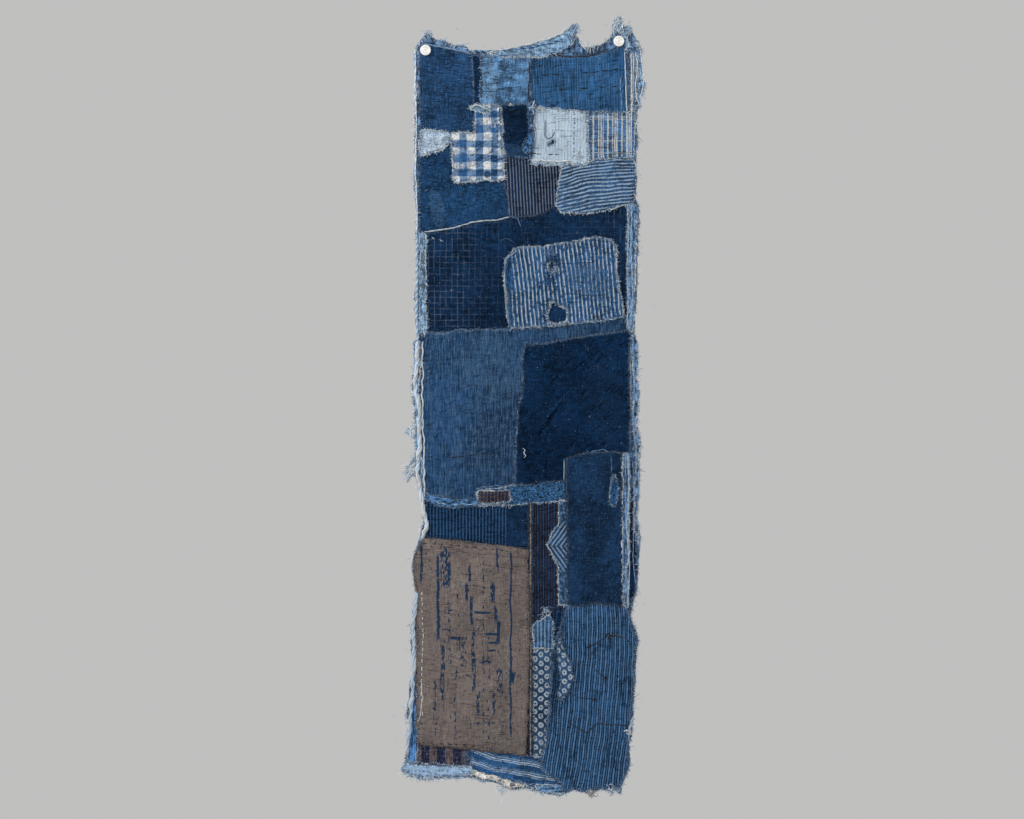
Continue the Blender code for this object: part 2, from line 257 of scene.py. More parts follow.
def makeMesh(name, points, faces, material):
    mesh = bpy.data.meshes.new(name)
    mesh.from_pydata((points * mm).tolist(), [], faces)
    mesh.materials.append(material)
    mesh.polygons.foreach_set("use_smooth", [True] * len(mesh.polygons))
    mesh.update()
    made = bpy.data.objects.new(name, mesh)
    scene.collection.objects.link(made)
    return made


def makeSheet(name, rim, lift, thick, pitch, material, holes=(), seed=0, rough=0.3):
    # a closed sheet on the folds, its middle this far forward of the backing's middle
    low, high = rim.min(axis=0), rim.max(axis=0)
    rows = np.arange(low[1], high[1], pitch * 0.87)
    columns = np.arange(low[0], high[0], pitch)
    gridX, gridZ = np.meshgrid(columns, rows)
    gridX = gridX + (np.arange(len(rows)) % 2)[:, None] * pitch / 2
    local = np.random.default_rng(900 + seed)
    gridX = (gridX + local.uniform(-0.18, 0.18, gridX.shape) * pitch).ravel()
    gridZ = (gridZ + local.uniform(-0.18, 0.18, gridZ.shape) * pitch).ravel()
    keep = inside(gridX, gridZ, rim) & (awayFrom(gridX, gridZ, rim) > pitch * 0.6)
    outlines = [rim]
    for hole in holes:
        keep &= ~inside(gridX, gridZ, hole) & (awayFrom(gridX, gridZ, hole) > pitch * 0.5)
        outlines.append(hole)
    inner = np.column_stack([gridX[keep], gridZ[keep]])
    flatIn = [Vector(p) for p in np.vstack(outlines + [inner])]
    loops, start = [], 0
    for outline in outlines:
        loops.append(list(range(start, start + len(outline))))
        start += len(outline)
    loops = [loops[0]] + [loop[::-1] for loop in loops[1:]]
    flat, _, faces, *_ = delaunay_2d_cdt(flatIn, [], loops, 1, 1e-4)
    flat = np.array([tuple(p) for p in flat])
    faces = np.array([tuple(f) for f in faces])
    for hole in holes:
        middle = flat[faces].mean(axis=1)
        faces = faces[~inside(middle[:, 0], middle[:, 1], hole)]
    x, z = flat.T
    forward = surface(x, z) + lift + 0.18 * bumps(x, z, 26, 50 + seed)
    away = awayFrom(x, z, np.vstack(outlines))
    forward = forward + rough * np.exp(-((away / 4) ** 2)) * bumps(x, z, 9, 70 + seed)
    count = len(flat)
    points = np.vstack([
        np.column_stack([x, -forward - thick / 2, z]),
        np.column_stack([x, -forward + thick / 2, z]),
    ])
    sides = np.vstack([faces[:, [0, 1]], faces[:, [1, 2]], faces[:, [2, 0]]])
    known = set(map(tuple, sides.tolist()))
    walls = [(a, a + count, b + count, b) for a, b in known if (b, a) not in known]
    made = makeMesh(
        name, points, faces.tolist() + (faces[:, ::-1] + count).tolist() + sorted(walls), material
    )
    layer = made.data.attributes.new("edge", "FLOAT", "POINT")
    layer.data.foreach_set("value", np.concatenate([away, away]).astype(np.float32))
    return made


# threads


class Threads:
    # gathers many thin strands and makes one mesh of them
    def __init__(self):
        self.points, self.faces, self.tints, self.count = [], [], [], 0

    def add(self, spines, radii, tints, sides=3):
        spines = np.asarray(spines, float)
        strands, length, _ = spines.shape
        radii = np.broadcast_to(np.asarray(radii, float), (strands, length))
        along = np.gradient(spines, axis=1)
        along /= np.maximum(np.linalg.norm(along, axis=2), 1e-9)[:, :, None]
        side = np.cross(along, (0.13, -1.0, 0.07))
        side /= np.maximum(np.linalg.norm(side, axis=2), 1e-6)[:, :, None]
        over = np.cross(side, along)
        turns = np.arange(sides) * 2 * math.pi / sides
        ring = (
            side[:, :, None, :] * np.cos(turns)[:, None] + over[:, :, None, :] * np.sin(turns)[:, None]
        )
        points = spines[:, :, None, :] + ring * radii[:, :, None, None]
        number = np.arange(strands * length * sides).reshape(strands, length, sides) + self.count
        a, b = number[:, :-1, :], number[:, 1:, :]
        quads = np.stack([a, b, np.roll(b, -1, axis=2), np.roll(a, -1, axis=2)], axis=-1).reshape(-1, 4)
        self.points.append(points.reshape(-1, 3))
        self.faces += quads.tolist() + number[:, 0, :].tolist() + number[:, -1, ::-1].tolist()
        tints = np.broadcast_to(np.asarray(tints, float), (strands, 3))
        self.tints.append(np.repeat(tints, length * sides, axis=0))
        self.count += strands * length * sides

    def make(self, name, material):
        made = makeMesh(name, np.vstack(self.points), self.faces, material)
        tints = np.vstack(self.tints)
        layer = made.data.attributes.new("tint", "FLOAT_COLOR", "POINT")
        layer.data.foreach_set("color", np.column_stack([tints, np.ones(len(tints))]).ravel())
        return made


def linear(*dye):
    # a screen colour from 0 to 255 as light
    return tuple((c / 255 / 12.92) if c < 10.3 else ((c / 255 + 0.055) / 1.055) ** 2.4 for c in dye)


def shades(dyes, count):
    # a random pick from these dyes for each strand, each a little lighter or darker
    picked = np.array([linear(*dye) for dye in dyes])[rng.integers(0, len(dyes), count)]
    return picked * rng.uniform(0.72, 1.25, (count, 1))


# the usual loose fibres: one every so many mm, shortest and longest, thinnest and thickest, how far they
# start inside the edge, stand off, hang and turn aside, and how much of the edge is bare
usualFray = {
    "every": 1.0, "length": (1.0, 4.2), "thick": (0.26, 0.56), "inside": 1.6, "off": 1.0, "droop": 0.12,
    "spread": 0.75, "bare": -0.7,
}


def fray(threads, rim, lift, look):
    # loose fibres along an edge: some lie on the cloth, some stand off it
    look = {**usualFray, **look}
    every, (short, long) = look["every"], look["length"]
    rim = evenly(rim, every)
    way = outward(rim)
    keep = rng.random(len(rim)) < 0.95  # a few are worn away
    keep &= bumps(*rim.T, 17, 31) > look["bare"]
    rim, way = rim[keep], way[keep]
    count = len(rim)
    rim = rim + rng.normal(0, every * 0.35, (count, 2))
    turn = rng.normal(0, look["spread"], count)
    ways = np.column_stack([
        way[:, 0] * np.cos(turn) - way[:, 1] * np.sin(turn),
        way[:, 0] * np.sin(turn) + way[:, 1] * np.cos(turn),
    ])
    length = short + (long - short) * rng.random(count) ** 2
    steps = np.linspace(0, 1, 4)
    curl = rng.normal(0, 0.55, (count, 1))
    start = look["inside"] * rng.uniform(0.4, 1.6, (count, 1))
    reach = steps[None, :] * (length[:, None] + start) - start
    swing = (steps[None, :] ** 2) * curl * length[:, None]
    x = rim[:, :1] + ways[:, :1] * reach - ways[:, 1:] * swing
    z = rim[:, 1:] + ways[:, 1:] * reach + ways[:, :1] * swing
    z -= look["droop"] * length[:, None] * steps[None, :] ** 2
    off = rng.uniform(0.1, look["off"], (count, 1)) * np.sin(steps * 2.4)[None, :]
    y = -(forwardAt(x, z) + lift + 0.45 - 0.5 * steps[None, :] + off)
    thin, thick = look["thick"]
    radius = rng.uniform(thin, thick, (count, 1)) * np.linspace(1, 0.5, 4)[None, :]
    threads.add(np.stack([x, y, z], axis=-1), radius, shades(look["dyes"], count))


def tuft(threads, x, z, size, count, dyes, lift, thick=1.0):
    # a small tangle of loose fibres round one spot, or one fibre at each of many spots
    steps = np.linspace(-1, 1, 5)
    x, z, size = (np.broadcast_to(value, count).reshape(-1, 1) for value in (x, z, size))
    turn = rng.uniform(0, math.pi, (count, 1))
    bend = rng.normal(0, 1.3, (count, 1))
    reach = size * rng.uniform(0.2, 0.75, (count, 1))
    middle = rng.normal(0, 0.5, (count, 2)) * size
    u, v = steps * reach, bend * reach * (steps**2 - 0.4)
    spotX = x + middle[:, :1] + u * np.cos(turn) - v * np.sin(turn)
    spotZ = z + middle[:, 1:] + u * np.sin(turn) + v * np.cos(turn)
    off = rng.uniform(0, 0.3, (count, 1)) * size * (1 - steps**2 * 0.6)
    y = -(forwardAt(spotX, spotZ) + lift + off)
    radius = rng.uniform(0.14, 0.34, (count, 1)) * (1 - 0.5 * steps**2) * thick
    threads.add(np.stack([spotX, y, spotZ], axis=-1), radius, shades(dyes, count))


def stitches(threads, line, lift, look):
    # a row of running stitches along a line; each stitch is a short raised strand
    line = np.array(line, float)
    run = np.concatenate([[0], np.cumsum(np.hypot(*np.diff(line, axis=0).T))])
    step = look["stitch"] + look["gap"]
    starts = np.arange(0, max(0.1, run[-1] - look["stitch"]), step)
    starts = starts + rng.uniform(-0.22, 0.22, len(starts)) * step
    starts = starts[rng.random(len(starts)) < look.get("share", 0.93)]
    if not len(starts):
        return
    sizes = look["stitch"] * rng.uniform(0.7, 1.2, len(starts))
    where = starts[:, None] + sizes[:, None] * np.linspace(0, 1, 4)[None, :]
    x = np.interp(where, run, line[:, 0]) + rng.normal(0, 0.3, (len(starts), 1))
    z = np.interp(where, run, line[:, 1]) + rng.normal(0, 0.3, (len(starts), 1))
    x += rng.normal(0, 0.12, x.shape)
    z += rng.normal(0, 0.12, z.shape)
    arch = np.array([-0.3, 0.32, 0.32, -0.3])
    y = -(forwardAt(x, z) + lift + 0.4 + arch)
    if look.get("back"):
        y = -(forwardAt(x, z) - lift - 0.55 - arch)
    radius = look.get("thick", 0.32) * rng.uniform(0.8, 1.2, (len(starts), 1))
    threads.add(np.stack([x, y, z], axis=-1), radius, shades(look["dyes"], len(starts)))


def cord(threads, line, lift, thick, dyes, rough):
    # a soft twisted yarn or a rolled edge: a few strands wound round one line
    middle = evenly(line, 2.1, closed=False)
    middle = middle + np.column_stack([bumps(*middle.T, 9, 12), bumps(*middle.T, 9, 13)]) * rough
    count = len(middle)
    size = thick * (1 + 0.3 * bumps(*middle.T, 7, 15))
    size *= np.minimum(1, np.minimum(np.arange(count) + 1, np.arange(count)[::-1] + 1) / 3)
    way = np.gradient(middle, axis=0)
    way /= np.maximum(np.hypot(*way.T), 1e-6)[:, None]
    across = np.column_stack([-way[:, 1], way[:, 0]])
    twist = 0.34 if thick > 2 else 1.3
    for n in range(3):
        turn = np.arange(count) * twist + n * 2 * math.pi / 3 + 1.6 * bumps(*middle.T, 16, 17)
        spot = middle + across * (np.cos(turn) * size * 0.45)[:, None]
        y = -(surface(*spot.T) + lift + size * 0.6 + np.sin(turn) * size * 0.4)
        spine = np.column_stack([spot[:, 0], y, spot[:, 1]])
        threads.add(spine[None], (size * 0.62)[None], shades(dyes, 1), sides=4)


# shaders


class Wire:
    # one output of a node, so that shader maths reads as ordinary sums
    def __init__(self, paint, socket):
        self.paint = paint
        self.socket = socket

    def __add__(self, other):
        return self.paint.maths("ADD", self, other)

    def __sub__(self, other):
        return self.paint.maths("SUBTRACT", self, other)

    def __rsub__(self, other):
        return self.paint.maths("SUBTRACT", other, self)

    def __mul__(self, other):
        return self.paint.maths("MULTIPLY", self, other)

    def __truediv__(self, other):
        return self.paint.maths("DIVIDE", self, other)

    __radd__ = __add__
    __rmul__ = __mul__


class Paint:
    # one material, with what every cloth here needs: a place in mm and the distance from its edge
    def __init__(self, name, roughness=0.9, sheen=0.0):
        self.made = bpy.data.materials.new(name)
        self.made.use_nodes = True
        self.tree = self.made.node_tree
        self.shader = self.tree.nodes["Principled BSDF"]
        self.shader.inputs["Roughness"].default_value = roughness
        self.shader.inputs["Sheen Weight"].default_value = sheen
        self.shader.inputs["Sheen Roughness"].default_value = 0.5
        self.shader.inputs["Specular IOR Level"].default_value = 0.02
        place = self.node("ShaderNodeTexCoord", {}, {})
        parts = self.node("ShaderNodeSeparateXYZ", {}, {0: Wire(self, place.outputs["Object"])})
        self.x, self.z = (Wire(self, parts.outputs[side]) * perMetre for side in "XZ")

    def node(self, kind, settings, values):
        made = self.tree.nodes.new(kind)
        for key, value in settings.items():
            setattr(made, key, value)
        for key, value in values.items():
            if isinstance(value, Wire):
                self.tree.links.new(value.socket, made.inputs[key])
            else:
                made.inputs[key].default_value = value
        return made

    def maths(self, operation, *values):
        made = self.node("ShaderNodeMath", {"operation": operation}, dict(enumerate(values)))
        return Wire(self, made.outputs[0])

    def blend(self, factor, under, over, way="MIX"):
        settings = {"data_type": "RGBA", "blend_type": way, "clamp_factor": True}
        made = self.node("ShaderNodeMix", settings, {0: factor, 6: under, 7: over})
        return Wire(self, made.outputs[2])

    def soft(self, value, start, end):
        # 0 at start, 1 at end, and eased between
        settings = {"interpolation_type": "SMOOTHSTEP", "clamp": True}
        low, high, first, last = (start, end, 0, 1) if start < end else (end, start, 1, 0)
        values = {"Value": value, "From Min": low, "From Max": high, "To Min": first, "To Max": last}
        return Wire(self, self.node("ShaderNodeMapRange", settings, values).outputs["Result"])

    def noise(self, sizeX, sizeZ, seed, detail=2, x=None, z=None):
        # uneven from 0 to 1, its humps this wide and this tall in mm
        spot = {0: (x or self.x) / sizeX, 1: seed * 7.31, 2: (z or self.z) / sizeZ}
        place = self.node("ShaderNodeCombineXYZ", {}, spot)
        values = {"Vector": Wire(self, place.outputs[0]), "Scale": 1.0, "Detail": detail}
        return Wire(self, self.node("ShaderNodeTexNoise", {}, values).outputs[0])

    def bars(self, across, centre, pitch, width, blur=0.5):
        # 1 on stripes of this width, one of them centred at centre
        turn = self.maths("FRACT", (across - centre) / pitch + 0.5)
        away = self.maths("ABSOLUTE", turn - 0.5) * pitch
        return self.soft(away, width / 2 + blur, max(0.0, width / 2 - blur))

    def line(self, across, centre, width, blur=0.5):
        away = self.maths("ABSOLUTE", across - centre)
        return self.soft(away, width / 2 + blur, max(0.0, width / 2 - blur))

    def spot(self, x, z, reachX, reachZ, lean=0.0):
        # 1 at a place and 0 beyond its reach
        turn = math.radians(lean)
        u = ((self.x - x) * math.cos(turn) - (self.z - z) * math.sin(turn)) / reachX
        v = ((self.x - x) * math.sin(turn) + (self.z - z) * math.cos(turn)) / reachZ
        return self.soft(u * u + v * v, 1.0, 0.25)

    def edge(self):
        made = self.node("ShaderNodeAttribute", {"attribute_name": "edge"}, {})
        return Wire(self, made.outputs["Fac"])

    def bump(self, height, distance, strength=1.0, after=None):
        values = {"Height": height, "Distance": distance * mm, "Strength": strength}
        if after:
            values["Normal"] = after
        return Wire(self, self.node("ShaderNodeBump", {}, values).outputs[0])

    def finish(self, colour, normal=None, roughness=None):
        self.tree.links.new(colour.socket, self.shader.inputs["Base Color"])
        if normal:
            self.tree.links.new(normal.socket, self.shader.inputs["Normal"])
        if roughness:
            self.tree.links.new(roughness.socket, self.shader.inputs["Roughness"])
        return self.made


def dye(*tone):
    return (*linear(*tone), 1.0)


def scaled(tone, by):
    return tuple(min(255, c * by) for c in tone)


def towards(tone, other, share):
    return tuple(a + (b - a) * share for a, b in zip(tone, other))


def weave(paint, colour, look, seed, more=False):
    # threads, slubs, worn edge, relief and painted shade along the pleats that all the cottons share
    tone = look["tone"]
    light = dye(*look.get("light", towards(scaled(tone, 1.6), (206, 216, 226), 0.03)))
    dark = dye(*look.get("dark", scaled(tone, 0.5)))
    run = look["run"]
    upright = paint.noise(1.1, run, seed + 1, 3)
    level = paint.noise(run, 1.1, seed + 2, 3)
    speck = paint.noise(1.2, 1.1, seed + 3, 2)
    cloud = paint.noise(13, 9, seed + 4, 4)
    shift = (upright - 0.5) * look["warp"] + (level - 0.5) * look["weft"]
    shift = shift + (speck - 0.5) * look["speck"] + (cloud - 0.5) * look["patchy"]
    much = look["contrast"]
    colour = paint.blend(paint.soft(shift, 0.0, 0.44) * much, colour, light)
    colour = paint.blend(paint.soft(shift, 0.0, -0.4) * much, colour, dark)
    lint = paint.soft(paint.noise(1.3, 1.9, seed + 5, 1), 0.71, 0.77)
    colour = paint.blend(lint * look["lint"], colour, dye(*towards(tone, (190, 204, 218), 0.7)))
    width, strength = look["edge"]
    rubbed = dye(*look.get("rubbed", towards(tone, (196, 212, 228), 0.55)))
    wander = paint.noise(4, 4, seed + 6, 3) * 7 - 3.5
    rub = paint.soft(paint.edge() + wander * min(1, width / 4), width, 0.0)
    rub = rub * paint.soft(paint.noise(1.3, 1.3, seed + 7, 2), 0.4, 0.56)
    colour = paint.blend(rub * strength, colour, rubbed)
    turn = math.radians(look.get("lean", seed * 37 % 50 - 25))
    along = paint.x * math.cos(turn) + paint.z * math.sin(turn)
    over = paint.z * math.cos(turn) - paint.x * math.sin(turn)
    pleat = paint.maths("ABSOLUTE", paint.noise(70, 11, seed + 8, 2, along, over) - 0.5)
    pleat = paint.soft(pleat, 0.035, 0.0) * paint.soft(paint.noise(24, 24, seed + 10), 0.48, 0.58)
    # painted shade: the colour is darkened along the pleat lines
    colour = paint.blend(pleat * look["pleats"], colour, dark)
    crumple = paint.noise(8, 6, seed + 9, 4)
    normal = paint.bump(crumple - pleat * 0.5, look["crumple"], 0.9)
    normal = paint.bump(upright + level + speck, 0.5, 1.0, normal)
    roughness = upright * 0.12 + 0.84
    paint.finish(colour, normal, roughness)
    return colour if more else paint.made


def ground(paint, look, seed):
    # the dyed cloth, faded in clouds
    wide, tall = look["cloud"]
    deep, faded = look["fade"]
    fade = paint.soft(paint.noise(wide, tall, seed, 4), 0.38, 0.62)
    return paint.blend(fade, dye(*scaled(look["tone"], deep)), dye(*scaled(look["tone"], faded)))


def drifted(paint, look, seed):
    # x and z that wander a little, as hand-woven stripes do
    drift = look["drift"]
    x = paint.x + (paint.noise(42, 60, seed + 8) - 0.5) * drift
    z = paint.z + (paint.noise(60, 42, seed + 9) - 0.5) * drift
    return x, z


def striped(paint, colour, look, seed):
    x, z = drifted(paint, look, seed)
    for n, bar in enumerate(look["bars"]):
        lean = math.radians(bar["lean"])
        across = x * math.cos(lean) - z * math.sin(lean)
        if "bend" in bar:
            middle, amount = bar["bend"]
            along = x * math.sin(lean) + z * math.cos(lean) - middle
            across = across + along * along * amount
        mask = paint.bars(across, bar["centre"], bar["pitch"], bar["width"], bar["blur"])
        if "reach" in bar:
            start, end = bar["reach"]
            melt = bar["melt"]
            mask = mask * paint.soft(x, start, start + 3) * paint.soft(x, end + melt, end)
        grainX, grainZ = bar.get("grain", (14, 2.0) if abs(bar["lean"]) > 45 else (2.0, 14))
        worn = paint.soft(paint.noise(grainX, grainZ, seed + 11 + n), *bar["worn"])
        colour = paint.blend(mask * worn * bar["strength"], colour, dye(*bar["dye"]))
    return colour


def cotton(name, look, seed):
    paint = Paint(name)
    colour = ground(paint, look, seed)
    colour = striped(paint, colour, look, seed)
    for n, (x, z, reachX, reachZ, lean, tone, strength) in enumerate(look["spots"]):
        mask = paint.spot(x, z, reachX, reachZ, lean)
        broken = paint.soft(paint.noise(2.2, 3.4, seed + 30 + n, 3) + mask * 0.24, 0.58, 0.7)
        colour = paint.blend(broken * paint.soft(mask, 0.0, 0.35) * strength, colour, dye(*tone))
    return weave(paint, colour, look, seed)


# dyes and loose fibres that many of the cloths share
white, pale, sky, mid = (216, 222, 226), (180, 198, 214), (118, 150, 182), (62, 98, 136)
navy, soot, brown = (24, 46, 76), (12, 22, 40), (96, 88, 88)
frayPale = {"dyes": [white, pale, white, sky, mid]}
frayBlue = {"dyes": [mid, sky, mid, navy], "every": 1.1}
frayDark = {"dyes": [navy, mid, soot, navy], "every": 1.3, "length": (1.2, 4)}
frayBrown = {"dyes": [brown, (128, 118, 114), (74, 66, 70)], "every": 2.4, "length": (0.8, 3)}

# the usual stripe
usualBar = {"centre": 0, "lean": 0, "blur": 0.5, "melt": 3, "worn": (0.2, 0.45), "strength": 0.9}


def bar(pitch, width, tone, **more):
    return {**usualBar, **more, "pitch": pitch, "width": width, "dye": tone}


# the usual weave: how much the threads, slubs, clouds, lint, edge, painted pleat shade and creases show
usual = {
    "cloud": (45, 60), "fade": (0.84, 1.18), "drift": 4, "bars": (), "spots": (), "lines": (),
    "run": 9, "warp": 1.0, "weft": 0.85, "speck": 0.7, "patchy": 0.4, "contrast": 1.0, "lint": 0.4,
    "edge": (2.4, 0.7), "pleats": 0.35, "crumple": 3.2,
}


def cloth(slot, level, grow, ragged, fray, tone, **more):
    # layers up, how far it laps out, how uneven its edge is, its loose fibres and dye, then its weave
    look = {"slot": slot, "level": level, "grow": grow, "ragged": ragged, "fray": fray, "tone": tone}
    return {**usual, **more, **look}


def torn(slot, level, ragged, fray, tone, outline, **more):
    return {**cloth(slot, level, 0.3, ragged, fray, tone, **more), "outline": outline}


